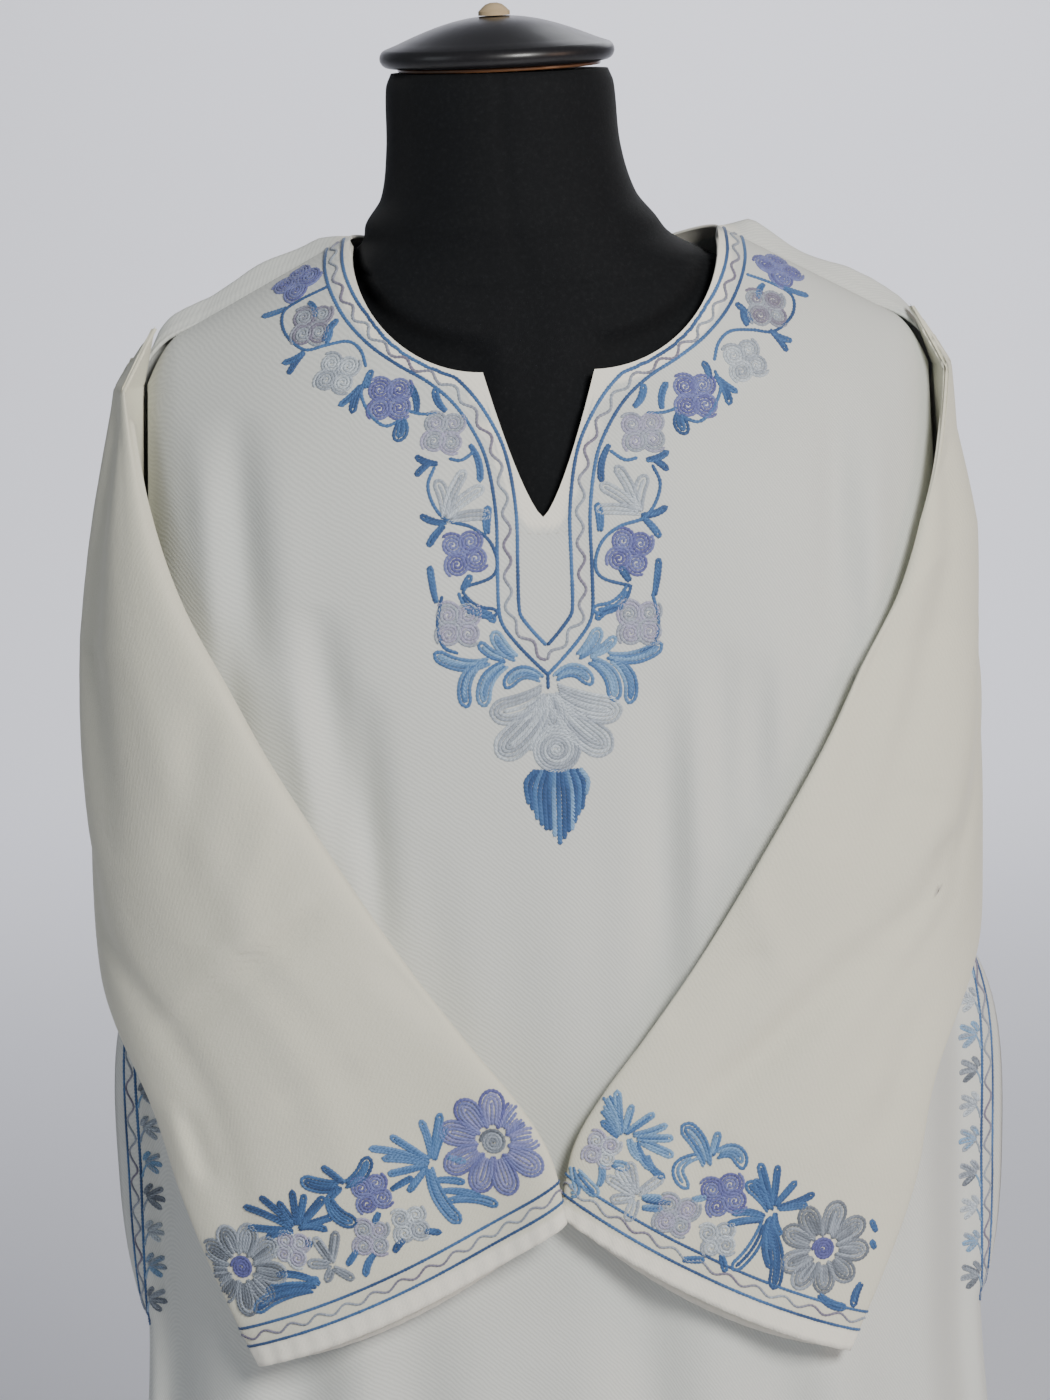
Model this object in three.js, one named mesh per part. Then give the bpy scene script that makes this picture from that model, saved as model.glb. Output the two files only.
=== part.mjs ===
// A pheran, a loose tunic with dropped shoulders and wide sleeves, worn by a limbless dress form on a
// round stand. Its empty sleeves are folded across the front so that the cuffs meet at the middle.
// Millimetres, +Z up, the front faces -Y, and the origin is the middle of the stand's underside.
import * as THREE from "three";
import { mergeVertices } from "three/addons/utils/BufferGeometryUtils.js";

// ---- Driving dimensions ----
const neckPointHeight = 1400; // floor to where the shoulder seam meets the neckline
const hemDrop = 1100; // neck point to hem
const garmentShift = 13; // the garment hangs this far towards +X of the form's middle
const clothWall = 2;
const seamHalf = 0.2; // each panel stops this far from a seam's plane
const neckHalf = 105; // half the width of the neckline
const neckDropFront = 77;
const neckDropBack = 30;
const neckPointDrop = 5;
const slitHalf = 31; // half the width of the neck slit where it opens
const slitDrop = 155; // neck point level to the foot of the slit
const slitCurve = 1.35; // 1 is a plain V, and more rounds its foot
const shoulderSlope = 0.53;
const shoulderTurn = 205; // beyond this half width the shoulder bends down
const shoulderBend = 0.045;
const roundOver = 160; // drop over which the cloth turns from the shoulder to hanging straight
const roundOverBack = 150;
const squareness = 2.7; // exponent of the body's sections: 2 is an ellipse
const armhole = { top: -88, bottom: -330, halfGap: 14 };
const pocketMouth = { top: -432, bottom: -640, halfGap: 8, frontLip: -2, backLip: 15, reach: 22 };
const yoke = { drop: 215, share: 0.46, crowding: { front: 1.6, back: 2.3 } }; // rows above this drop follow the top edge
const thinnestSleeve = 6; // least depth between a sleeve's layers
const sleeveClear = 6.5; // sleeve's inner layer to the body cloth
const headTuck = 0.6; // how far a sleeve's head leans in over the shoulder, for each mm above the armhole
const crest = { height: 11.5, grow: 26, fadeFrom: 203, fadeTo: 219, behind: 11, width: 10, wave: 9 };

// ---- Tables. Heights are from the neck point, and lengths are from the garment's middle ----
const bodySections = [
  { z: 90, half: 222, front: 88, back: 72 },
  { z: 0, half: 223, front: 91, back: 78 },
  { z: -77, half: 225, front: 99, back: 90 },
  { z: -150, half: 227, front: 121, back: 98 },
  { z: -230, half: 230, front: 131, back: 102 },
  { z: -330, half: 233, front: 133, back: 103 },
  { z: -400, half: 238, front: 132, back: 104 },
  { z: -470, half: 248, front: 131, back: 106 },
  { z: -560, half: 248, front: 130, back: 108 },
  { z: -680, half: 250, front: 132, back: 111 },
  { z: -1100, half: 284, front: 146, back: 128 },
];

// A fold runs from (x, top) to (xFoot, foot). depth is outwards when positive; open folds run on past foot.
const frontFolds = [
  { x: -170, xFoot: -164, top: -95, foot: -225, width: 12, depth: -5 },
  { x: -196, xFoot: -178, top: -100, foot: -260, width: 9, depth: 3 },
  { x: -128, xFoot: -112, top: -200, foot: -345, width: 12, depth: -6 },
  { x: -104, xFoot: -98, top: -245, foot: -400, width: 11, depth: -6 },
  { x: 166, xFoot: 160, top: -90, foot: -235, width: 11, depth: -5 },
  { x: 192, xFoot: 178, top: -95, foot: -260, width: 10, depth: 3 },
  { x: 118, xFoot: 112, top: -235, foot: -330, width: 11, depth: -4 },
  { x: 98, xFoot: 92, top: -225, foot: -345, width: 10, depth: -4 },
  { x: 66, xFoot: 58, top: -240, foot: -470, width: 13, depth: -7 },
  { x: -206, xFoot: -238, top: -480, foot: -1180, width: 21, depth: -12 },
  { x: -146, xFoot: -168, top: -470, foot: -1180, width: 20, depth: -13 },
  { x: -84, xFoot: -98, top: -540, foot: -1180, width: 20, depth: -8 },
  { x: -20, xFoot: -30, top: -640, foot: -1180, width: 20, depth: -9 },
  { x: 44, xFoot: 50, top: -500, foot: -1180, width: 19, depth: -12 },
  { x: 118, xFoot: 132, top: -490, foot: -1180, width: 20, depth: -11 },
  { x: 180, xFoot: 214, top: -470, foot: -1180, width: 21, depth: -13 },
];
const backFolds = [
  { x: -186, xFoot: -226, top: -300, foot: -1180, width: 24, depth: -13 },
  { x: -120, xFoot: -150, top: -240, foot: -1180, width: 24, depth: -11 },
  { x: -52, xFoot: -66, top: -330, foot: -1180, width: 23, depth: -10 },
  { x: 20, xFoot: 16, top: -420, foot: -1180, width: 24, depth: -11 },
  { x: 88, xFoot: 100, top: -260, foot: -1180, width: 24, depth: -12 },
  { x: 160, xFoot: 186, top: -300, foot: -1180, width: 25, depth: -12 },
];

// A row for each section of a sleeve. The inner fold lies towards the body's middle and the outer fold
// away from it, past the side by `past` where it wraps behind. crown and under are the middles of the
// outer and inner layers, thick is the depth between the layers, and lift adds to the clearance.
const sleeveSections = [
  { innerX: 222, innerZ: -104, outerX: 224, past: 16, outerZ: -104, crown: -53, under: -332, thick: 10, lift: -1 },
  { innerX: 211, innerZ: -150, outerX: 226, past: 38, outerZ: -148, crown: -98, under: -336, thick: 13, lift: 0 },
  { innerX: 192, innerZ: -200, outerX: 228, past: 60, outerZ: -206, crown: -164, under: -341, thick: 21, lift: 0 },
  { innerX: 169, innerZ: -244, outerX: 230, past: 70, outerZ: -262, crown: -228, under: -347, thick: 25, lift: 0 },
  { innerX: 147, innerZ: -288, outerX: 231, past: 64, outerZ: -318, crown: -291, under: -354, thick: 27, lift: 0 },
  { innerX: 115, innerZ: -344, outerX: 234, past: 38, outerZ: -372, crown: -350, under: -374, thick: 25, lift: 0 },
  { innerX: 81, innerZ: -400, outerX: 236, past: 8, outerZ: -430, crown: -410, under: -420, thick: 21, lift: 0 },
  { innerX: 49, innerZ: -445, outerX: 219, past: -2, outerZ: -488, crown: -463, under: -469, thick: 19, lift: 0 },
  { innerX: 23, innerZ: -479, outerX: 204, past: -2, outerZ: -542, crown: -508, under: -514, thick: 18, lift: 0 },
  { innerX: 6, innerZ: -509, outerX: 187, past: -2, outerZ: -588, crown: -550, under: -556, thick: 18, lift: 0 },
  { innerX: -2, innerZ: -547, outerX: 166, past: -2, outerZ: -636, crown: -599, under: -607, thick: 19, lift: 0 },
];
// A sleeve fold crosses the outer layer from across to acrossFoot, 0 at the inner fold and 1 at the outer.
const sleeveSides = [
  {
    name: "sleeve_left",
    side: 1, // the wearer's left, towards +X
    spread: -8, // moves the outer fold away from the middle
    drawnIn: 16, // brings it back towards the front below the elbow
    fuller: -13, // adds to the depth between the layers
    slimHead: 9, // taken off that depth near the shoulder
    innerLift: 0,
    folds: [
      { across: 0.35, acrossFoot: 0.6, from: 1.5, to: 9, width: 0.1, depth: 4.5 },
      { across: 0.2, acrossFoot: 0.3, from: 2, to: 7, width: 0.07, depth: -4 },
      { across: 0.7, acrossFoot: 0.2, from: 4.5, to: 10, width: 0.08, depth: -4.5 },
    ],
  },
  {
    name: "sleeve_right",
    side: -1,
    spread: 6,
    drawnIn: 6,
    fuller: 5,
    slimHead: 0,
    innerLift: 13, // it passes over the other cuff
    folds: [
      { across: 0.3, acrossFoot: 0.52, from: 1.5, to: 6, width: 0.07, depth: -4.5 },
      { across: 0.42, acrossFoot: 0.66, from: 1.5, to: 6.5, width: 0.07, depth: 3.5 },
      { across: 0.52, acrossFoot: 0.8, from: 2, to: 7, width: 0.06, depth: -4 },
    ],
  },
];

const formSections = [
  { z: 86, half: 62, front: 57, back: 56, shift: -4 },
  { z: 78, half: 65, front: 60, back: 58, shift: -4 },
  { z: 43, half: 67, front: 62, back: 59, shift: -3 },
  { z: 16, half: 73, front: 66, back: 60, shift: -1 },
  { z: 2, half: 83, front: 69, back: 60, shift: 0 },
  { z: -9, half: 89, front: 69, back: 60, shift: 3 },
  { z: -20, half: 107, front: 70, back: 61, shift: 6 },
  { z: -34, half: 133, front: 72, back: 63, shift: 7 },
  { z: -52, half: 158, front: 78, back: 70, shift: 6 },
  { z: -78, half: 178, front: 86, back: 79, shift: 4 },
  { z: -110, half: 190, front: 99, back: 87, shift: 2 },
  { z: -145, half: 187, front: 111, back: 91, shift: 0 },
  { z: -185, half: 178, front: 120, back: 92, shift: 0 },
  { z: -240, half: 165, front: 123, back: 90, shift: 0 },
  { z: -310, half: 146, front: 108, back: 82, shift: 0 },
  { z: -400, half: 124, front: 88, back: 76, shift: 0 },
  { z: -480, half: 134, front: 90, back: 84, shift: 0 },
  { z: -570, half: 160, front: 100, back: 93, shift: 0 },
  { z: -650, half: 171, front: 103, back: 96, shift: 0 },
  { z: -705, half: 165, front: 98, back: 90, shift: 0 },
  { z: -716, half: 155, front: 90, back: 82, shift: 0 },
];
const formClear = 3; // form to the inside of the cloth
const formSquareness = 2.2;
const pocketPath = [
  // The middle of a pocket bag in plan, from the mouth inwards, and its half height
  { x: 240, y: 0, halfHeight: 94, thick: 11 },
  { x: 228, y: -1, halfHeight: 97, thick: 12 },
  { x: 208, y: -14, halfHeight: 104, thick: 12 },
  { x: 188, y: -38, halfHeight: 108, thick: 11 },
  { x: 169, y: -60, halfHeight: 102, thick: 9 },
  { x: 158, y: -73, halfHeight: 90, thick: 6 },
];
const pocketWall = 1.5;
const pocketSag = 26; // how far the far end of the bag hangs below its mouth

const stand = { poleRadius: 14, baseRadius: 170, baseHeight: 26, rimHeight: 12, hubRadius: 30, hubHeight: 46 };
const cap = { radius: 67, rim: 11, height: 27, tilt: 0.9, lean: 1, stubRadius: 9, stubHeight: 7 };
const plate = { radius: 58, height: 2 };
const gap = 0.3; // between pieces that touch

// ---- Materials ----
const material = (color, roughness, metalness = 0) =>
  new THREE.MeshStandardMaterial({ color, roughness, metalness });
const wool = material(0xe9e6da, 0.92);
const pocketing = material(0xe4dfce, 0.9);
const blackJersey = material(0x15171a, 0.85);
const blackLacquer = material(0x2b2a2d, 0.35);
const varnishedWood = material(0x6b3f22, 0.3);
const rawWood = material(0xcdb488, 0.8);
const paintedSteel = material(0x1c1d20, 0.45, 0.6);

// ---- Small helpers ----
const radians = (degrees) => (degrees * Math.PI) / 180;
const clamp = (value, low, high) => Math.min(high, Math.max(low, value));
const mix = (a, b, share) => a + (b - a) * share;

// Smooth value of one column of a table at `at`, where the column `by` runs steadily up or down.
function smoothColumn(rows, by, key, at) {
  const up = rows[rows.length - 1][by] > rows[0][by];
  const inOrder = up ? rows : [...rows].reverse();
  const place = clamp(at, inOrder[0][by], inOrder[inOrder.length - 1][by]);
  let i = 0;
  while (i < inOrder.length - 2 && place > inOrder[i + 1][by]) i += 1;
  const slopeAt = (k) => {
    const before = inOrder[Math.max(0, k - 1)];
    const after = inOrder[Math.min(inOrder.length - 1, k + 1)];
    return (after[key] - before[key]) / (after[by] - before[by]);
  };
  const [a, b] = [inOrder[i], inOrder[i + 1]];
  const span = b[by] - a[by];
  const t = (place - a[by]) / span;
  return (
    (2 * t ** 3 - 3 * t ** 2 + 1) * a[key] +
    (t ** 3 - 2 * t ** 2 + t) * span * slopeAt(i) +
    (-2 * t ** 3 + 3 * t ** 2) * b[key] +
    (t ** 3 - t ** 2) * span * slopeAt(i + 1)
  );
}

// How far inside an upright eye-shaped opening z is: 1 at its middle, 0 at its ends and beyond.
function eye(opening, z) {
  const middle = (opening.top + opening.bottom) / 2;
  const share = (z - middle) / ((opening.top - opening.bottom) / 2);
  return Math.sqrt(Math.max(0, 1 - share * share));
}

// ---- The draped body ----
const bodySize = (key, z) => smoothColumn(bodySections, "z", key, z);

function shoulderLine(x) {
  const across = Math.abs(x);
  if (across <= neckHalf) return -neckPointDrop + (shoulderSlope * (neckHalf ** 2 - x * x)) / (2 * neckHalf);
  const turned = Math.max(0, across - shoulderTurn);
  return -neckPointDrop - shoulderSlope * (across - neckHalf) - shoulderBend * turned ** 2;
}

function neckline(face, x) {
  const across = Math.abs(x);
  if (face === "back") {
    const arc = Math.sqrt(Math.max(0, 1 - (across / neckHalf) ** 2));
    return -neckPointDrop - (neckDropBack - neckPointDrop) * arc;
  }
  if (across < slitHalf) {
    const share = across / slitHalf;
    return mix(-slitDrop, -neckDropFront, share ** slitCurve);
  }
  const arc = Math.sqrt(Math.max(0, 1 - ((across - slitHalf) / (neckHalf - slitHalf)) ** 2));
  return -neckPointDrop - (neckDropFront - neckPointDrop) * arc;
}

const topEdge = (face, x) => (Math.abs(x) < neckHalf ? neckline(face, x) : shoulderLine(x));

// Outward push of the folds at a place on a panel.
function foldPush(folds, x, z) {
  let push = 0;
  for (const fold of folds) {
    const down = (fold.top - z) / (fold.top - fold.foot);
    if (down <= 0 || down >= 1) continue;
    const along = Math.sin(Math.PI * down) ** 0.8;
    const off = (x - mix(fold.x, fold.xFoot, down)) / fold.width;
    push += fold.depth * along * Math.exp(-off * off);
  }
  return push;
}

// Distance of the cloth's outer face from the plane of the seams, before folds.
function drapeDepth(face, x, z) {
  const round = face === "front" ? roundOver : roundOverBack;
  const turn = clamp((shoulderLine(x) - z) / round, 0, 1);
  const across = clamp(Math.abs(x) / bodySize("half", z), 0, 1);
  const section = (1 - across ** squareness) ** (1 / squareness);
  return bodySize(face, z) * section * Math.sqrt(1 - (1 - turn) ** 2);
}

function seamGap(z) {
  return Math.max(armhole.halfGap * eye(armhole, z), pocketMouth.halfGap * eye(pocketMouth, z));
}

// The angle of a panel's side edge round its section, 90 degrees where the two panels meet.
function edgeAngle(face, z) {
  const wanted = seamGap(z);
  let angle = Math.PI / 2;
  for (let i = 0; i < 12 && wanted > 0; i += 1) {
    const x = bodySize("half", z) * Math.sin(angle) ** (2 / squareness);
    const round = face === "front" ? roundOver : roundOverBack;
    const turn = clamp((shoulderLine(x) - z) / round, 0.02, 1);
    const full = bodySize(face, z) * Math.sqrt(1 - (1 - turn) ** 2);
    const next = Math.acos(clamp(wanted / full, 0, 0.2) ** (squareness / 2));
    angle = (angle + next) / 2;
  }
  return angle;
}

// A panel's columns run from the middle to the side: through the neck, then along the shoulder.
function columnX(face, column, z) {
  if (column.neckX !== undefined) {
    return (column.neckX * bodySize("half", z)) / bodySize("half", neckline(face, column.neckX));
  }
  const start = Math.asin((neckHalf / bodySize("half", -neckPointDrop)) ** (squareness / 2));
  const angle = mix(start, edgeAngle(face, z), column.share);
  return bodySize("half", z) * Math.sin(angle) ** (2 / squareness);
}

function columnTop(face, column) {
  if (column.neckX !== undefined) return topEdge(face, column.neckX);
  let z = -neckPointDrop;
  for (let i = 0; i < 30; i += 1) z = (z + shoulderLine(columnX(face, column, z))) / 2;
  return z;
}

// Ridge of slack cloth just behind the shoulder seam; at the shoulder's end the sleeve's head takes over.
function crestRise(x, behind) {
  const across = Math.abs(x);
  const grow = clamp((across - neckHalf) / crest.grow, 0, 1);
  const fade = clamp((crest.fadeTo - across) / (crest.fadeTo - crest.fadeFrom), 0, 1);
  const wave = 1 + 0.12 * Math.sin(x / crest.wave);
  const roll = Math.exp(-(((behind - crest.behind) / crest.width) ** 2)) * clamp(behind / 4, 0, 1);
  return crest.height * grow * fade * wave * roll;
}

function panelPoint(face, side, column, down) {
  const top = columnTop(face, column);
  const z = down < yoke.share
    ? mix(top, -yoke.drop, (down / yoke.share) ** yoke.crowding[face])
    : mix(-yoke.drop, -hemDrop, (down - yoke.share) / (1 - yoke.share));
  const x = columnX(face, column, z);
  const depth = drapeDepth(face, x, z);
  const push = foldPush(face === "front" ? frontFolds : backFolds, side * x, z);
  const level = bodySize(face, z);
  const out = Math.max(depth + push * clamp((1.6 * depth) / level, 0, 1), seamHalf);
  const nearEdge = Math.exp(-Math.max(0, depth - pocketMouth.halfGap) / pocketMouth.reach);
  const lip = (face === "front" ? pocketMouth.frontLip : pocketMouth.backLip) * eye(pocketMouth, z) * nearEdge;
  const rise = face === "back" ? crestRise(side * x, depth) : 0;
  return new THREE.Vector3(side * (x + lip), face === "front" ? -out : out, z + rise);
}

// ---- Turning grids of points into closed solids ----
function closedGeometry(positions, indices) {
  const geometry = new THREE.BufferGeometry();
  geometry.setAttribute("position", new THREE.Float32BufferAttribute(positions, 3));
  geometry.setIndex(indices);
  return geometry;
}

// Unit normals of a grid of points, rows by columns, from its neighbours; wraps where closed.
function gridNormals(grid, closed) {
  const [rows, columns] = [grid.length, grid[0].length];
  return grid.map((row, i) =>
    row.map((_, j) => {
      const right = closed ? (j + 1) % columns : Math.min(j + 1, columns - 1);
      const left = closed ? (j - 1 + columns) % columns : Math.max(j - 1, 0);
      const along = grid[Math.min(i + 1, rows - 1)][j].clone().sub(grid[Math.max(i - 1, 0)][j]);
      const across = row[right].clone().sub(row[left]);
      return along.cross(across).normalize();
    }),
  );
}

// A wall whose outer face is the grid. flatten(i, j, normal) may turn the wall's direction at a seam.
function wall(grid, thickness, { closed = false, flip = false, flatten = () => {} } = {}) {
  const normals = gridNormals(grid, closed);
  const [rows, columns] = [grid.length, grid[0].length];
  const positions = [];
  for (const layer of [0, 1]) {
    grid.forEach((row, i) =>
      row.forEach((point, j) => {
        const normal = normals[i][j].clone().multiplyScalar(flip ? -1 : 1);
        flatten(i, j, normal);
        const placed = point.clone().addScaledVector(normal.normalize(), -thickness * layer);
        positions.push(placed.x, placed.y, placed.z);
      }),
    );
  }
  const at = (layer, i, j) => layer * rows * columns + i * columns + (j % columns);
  const indices = [];
  const quad = (a, b, c, d) => indices.push(...(flip ? [a, c, b, a, d, c] : [a, b, c, a, c, d]));
  const lastColumn = closed ? columns : columns - 1;
  for (let i = 0; i < rows - 1; i += 1) {
    for (let j = 0; j < lastColumn; j += 1) {
      quad(at(0, i, j), at(0, i + 1, j), at(0, i + 1, j + 1), at(0, i, j + 1));
      quad(at(1, i, j), at(1, i, j + 1), at(1, i + 1, j + 1), at(1, i + 1, j));
    }
    if (!closed) {
      quad(at(0, i, 0), at(1, i, 0), at(1, i + 1, 0), at(0, i + 1, 0));
      quad(at(0, i, lastColumn), at(0, i + 1, lastColumn), at(1, i + 1, lastColumn), at(1, i, lastColumn));
    }
  }
  for (let j = 0; j < lastColumn; j += 1) {
    quad(at(0, 0, j), at(0, 0, j + 1), at(1, 0, j + 1), at(1, 0, j));
    quad(at(0, rows - 1, j), at(1, rows - 1, j), at(1, rows - 1, j + 1), at(0, rows - 1, j + 1));
  }
  return closedGeometry(positions, indices);
}

// A solid through closed rings of points, with a fan over each end.
function loft(rings, flip = false) {
  const columns = rings[0].length;
  const positions = rings.flat().flatMap((p) => [p.x, p.y, p.z]);
  const middles = [rings[0], rings[rings.length - 1]].map((ring) =>
    ring.reduce((sum, p) => sum.add(p), new THREE.Vector3()).divideScalar(columns),
  );
  middles.forEach((p) => positions.push(p.x, p.y, p.z));
  const at = (i, j) => i * columns + (j % columns);
  const first = rings.length * columns;
  const indices = [];
  const triangle = (a, b, c) => indices.push(...(flip ? [a, c, b] : [a, b, c]));
  for (let j = 0; j < columns; j += 1) {
    for (let i = 0; i < rings.length - 1; i += 1) {
      triangle(at(i, j), at(i, j + 1), at(i + 1, j + 1));
      triangle(at(i, j), at(i + 1, j + 1), at(i + 1, j));
    }
    triangle(first, at(0, j + 1), at(0, j));
    triangle(first + 1, at(rings.length - 1, j), at(rings.length - 1, j + 1));
  }
  return closedGeometry(positions, indices);
}

// ---- Front and back panels ----
const range = (count) => Array.from({ length: count }, (_, i) => i);

function halfColumns(face, counts) {
  const middle = face === "front"
    ? range(counts.slit).map((i) => ({ neckX: (slitHalf * i) / counts.slit }))
    : [{ neckX: 0 }];
  const start = face === "front" ? slitHalf : 0;
  const first = face === "front" ? 0 : 1;
  const neck = range(counts.neck - first).map((i) => {
    const turn = ((i + first) / counts.neck) * (Math.PI / 2);
    return { neckX: start + (neckHalf - start) * Math.sin(turn) };
  });
  const shoulder = range(counts.shoulder + 1).map((i) => ({ share: i / counts.shoulder }));
  return [...middle, ...neck, ...shoulder];
}

function panel(face, counts, rows) {
  const half = halfColumns(face, counts);
  const columns = [
    ...half.slice(1).reverse().map((column) => ({ column, side: -1 })),
    ...half.map((column) => ({ column, side: 1 })),
  ];
  const grid = range(rows + 1).map((i) =>
    columns.map(({ column, side }) => panelPoint(face, side, column, i / rows)),
  );
  const flatten = (i, j, normal) => {
    const onShoulder = i === 0 && columns[j].column.share !== undefined;
    if (onShoulder || j === 0 || j === columns.length - 1) normal.y = 0;
  };
  return wall(grid, clothWall, { flip: face === "back", flatten });
}

// ---- Sleeves ----
const sleeveSize = (key, t) =>
  smoothColumn(sleeveSections.map((row, i) => ({ ...row, i: i + 1 })), "i", key, t);

// A point at `arc` along the body's section at z, from the middle of the front, h outside it.
function wrapPoint(arc, z, h, half, front, back) {
  const steps = 60;
  const turn = clamp((-28 - z) / roundOver, 0.05, 1);
  const round = Math.sqrt(1 - (1 - turn) ** 2);
  const at = (angle) => {
    const depth = Math.cos(angle) > 0 ? -front : back;
    return new THREE.Vector2(
      half * Math.sign(Math.sin(angle)) * Math.abs(Math.sin(angle)) ** (2 / squareness),
      depth * round * Math.abs(Math.cos(angle)) ** (2 / squareness),
    );
  };
  const stepAngle = (Math.PI / steps) * Math.sign(arc || 1);
  let [angle, passed] = [0, 0];
  let [from, to] = [at(0), at(stepAngle)];
  while (passed + from.distanceTo(to) < Math.abs(arc) && Math.abs(angle) < Math.PI - 0.1) {
    passed += from.distanceTo(to);
    angle += stepAngle;
    from = to;
    to = at(angle + stepAngle);
  }
  const place = from.clone().lerp(to, (Math.abs(arc) - passed) / from.distanceTo(to));
  const tangent = at(angle + 2 * stepAngle).sub(at(angle - stepAngle)).multiplyScalar(Math.sign(arc || 1));
  const outward = new THREE.Vector2(-tangent.y, tangent.x).normalize().multiplyScalar(-1);
  return new THREE.Vector3(place.x + outward.x * h, place.y + outward.y * h, z);
}

// Length of the section's curve from the middle of the front to half width x.
function arcAtX(x, z, half, front) {
  const turn = clamp((-28 - z) / roundOver, 0.05, 1);
  const round = Math.sqrt(1 - (1 - turn) ** 2);
  const end = Math.asin(clamp(Math.abs(x) / half, 0, 1) ** (squareness / 2));
  let [length, last] = [0, new THREE.Vector2(0, front * round)];
  for (const i of range(48)) {
    const angle = (end * (i + 1)) / 48;
    const next = new THREE.Vector2(
      half * Math.sin(angle) ** (2 / squareness),
      front * round * Math.cos(angle) ** (2 / squareness),
    );
    length += next.distanceTo(last);
    last = next;
  }
  return length * Math.sign(x || 1);
}

// Places on a sleeve: arc from the middle of the front, height z, and h outside the body's section.
// The first ring lies round the armhole, and its turn 0 is on the front edge, near the top.
function armholePlace(turn) {
  const middle = (armhole.top + armhole.bottom) / 2;
  const semi = (armhole.top - armhole.bottom) / 2;
  const start = 0.67; // radians from the armhole's top to where the inner fold starts
  const around = turn < Math.PI
    ? start * (1 - (2 * turn) / Math.PI)
    : -start - ((2 * Math.PI - 2 * start) * (turn - Math.PI)) / Math.PI;
  const z = middle + (semi + 1) * Math.cos(around);
  const half = bodySize("half", z);
  const side = arcAtX(half, z, half, bodySize("front", z));
  return { arc: side - (armhole.halfGap + 1) * Math.sin(around), z, h: 2.2 };
}

function foldedPlace(sleeve, t, turn) {
  const row = (key) => sleeveSize(key, t);
  const share = (1 - Math.cos(turn)) / 2;
  const over = Math.sin(turn) >= 0;
  const bow = Math.sin(turn) ** 2;
  const straight = mix(row("innerZ"), row("outerZ"), share);
  const z = straight + (row(over ? "crown" : "under") - (row("innerZ") + row("outerZ")) / 2) * bow;
  const [half, front] = [bodySize("half", z), bodySize("front", z)];
  const spread = sleeve.spread * clamp((t - 2) / 3, 0, 1);
  const drawn = sleeve.drawnIn * Math.exp(-(((t - 6.4) / 1.7) ** 2));
  const outer = arcAtX(Math.min(row("outerX"), half), z, half, front) + row("past") + spread - drawn;
  const layer = Math.sign(Math.sin(turn)) * Math.abs(Math.sin(turn)) ** 0.62;
  const arm = clamp((t - 2) / 2, 0, 1) - 0.8 * clamp((t - 7) / 2, 0, 1);
  const fuller = sleeve.fuller * arm - sleeve.slimHead * clamp(3.2 - t, 0, 1);
  const thick = Math.max(thinnestSleeve, row("thick") + fuller);
  let h = sleeveClear + row("lift") + (thick / 2) * (1 + layer);
  h += sleeve.innerLift * clamp((t - 7) / 3, 0, 1) * Math.exp(-((share / 0.16) ** 2));
  for (const fold of over ? sleeve.folds : []) {
    const along = (t - fold.from) / (fold.to - fold.from);
    if (along <= 0 || along >= 1) continue;
    const off = (share - mix(fold.across, fold.acrossFoot, along)) / fold.width;
    h += fold.depth * Math.sin(Math.PI * along) * Math.exp(-off * off);
  }
  return { arc: mix(arcAtX(row("innerX"), z, half, front), outer, share), z, h };
}

function sleevePoint(sleeve, t, turn) {
  const place = foldedPlace(sleeve, Math.max(1, t), turn);
  if (t < 1) {
    const start = armholePlace(turn);
    for (const key of ["arc", "z", "h"]) place[key] = mix(start[key], place[key], t);
  }
  const [half, front, back] = ["half", "front", "back"].map((key) => bodySize(key, place.z));
  const point = wrapPoint(place.arc, place.z, place.h, half, front, back);
  point.x -= headTuck * Math.max(0, place.z - armhole.top);
  return point;
}

function sleeveGeometry(sleeve, around, stations) {
  const grid = stations.map((t) =>
    range(around).map((j) => {
      const point = sleevePoint(sleeve, t, (2 * Math.PI * j) / around);
      point.x *= sleeve.side;
      return point;
    }),
  );
  const flatten = (i, j, normal) => {
    if (i === 0) normal.x = 0;
  };
  return wall(grid, clothWall, { closed: true, flip: sleeve.side > 0, flatten });
}

// ---- Pocket bags ----
// Inner rings from the closed end out to the mouth, then outer rings back, so the bag is one solid.
function pocketBag(side, around, stations) {
  const last = pocketPath.length - 1;
  const rows = pocketPath.map((row, i) => ({ ...row, i }));
  const at = (key, t) => smoothColumn(rows, "i", key, t);
  const middleZ = (pocketMouth.top + pocketMouth.bottom) / 2;
  const ring = (t, inset) => {
    const ahead = new THREE.Vector2(at("x", t + 0.05) - at("x", t - 0.05), at("y", t + 0.05) - at("y", t - 0.05));
    const across = new THREE.Vector2(-ahead.y, ahead.x).normalize();
    return range(around).map((j) => {
      const turn = (2 * Math.PI * j) / around;
      const flat = Math.sign(Math.sin(turn)) * Math.abs(Math.sin(turn)) ** 0.7;
      const tall = Math.sign(Math.cos(turn)) * Math.abs(Math.cos(turn)) ** 0.7;
      const half = at("thick", t) / 2 - inset;
      const z = middleZ - (pocketSag * t) / last + (at("halfHeight", t) - inset) * tall;
      return new THREE.Vector3(side * (at("x", t) + across.x * half * flat), at("y", t) + across.y * half * flat, z);
    });
  };
  const places = range(stations + 1).map((i) => 0.05 + ((last - 0.1) * i) / stations);
  const inside = places.slice(0, -1).reverse().map((t) => ring(t, pocketWall));
  const outside = places.map((t) => ring(t, 0));
  return loft([...inside, ...outside], side > 0);
}

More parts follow.
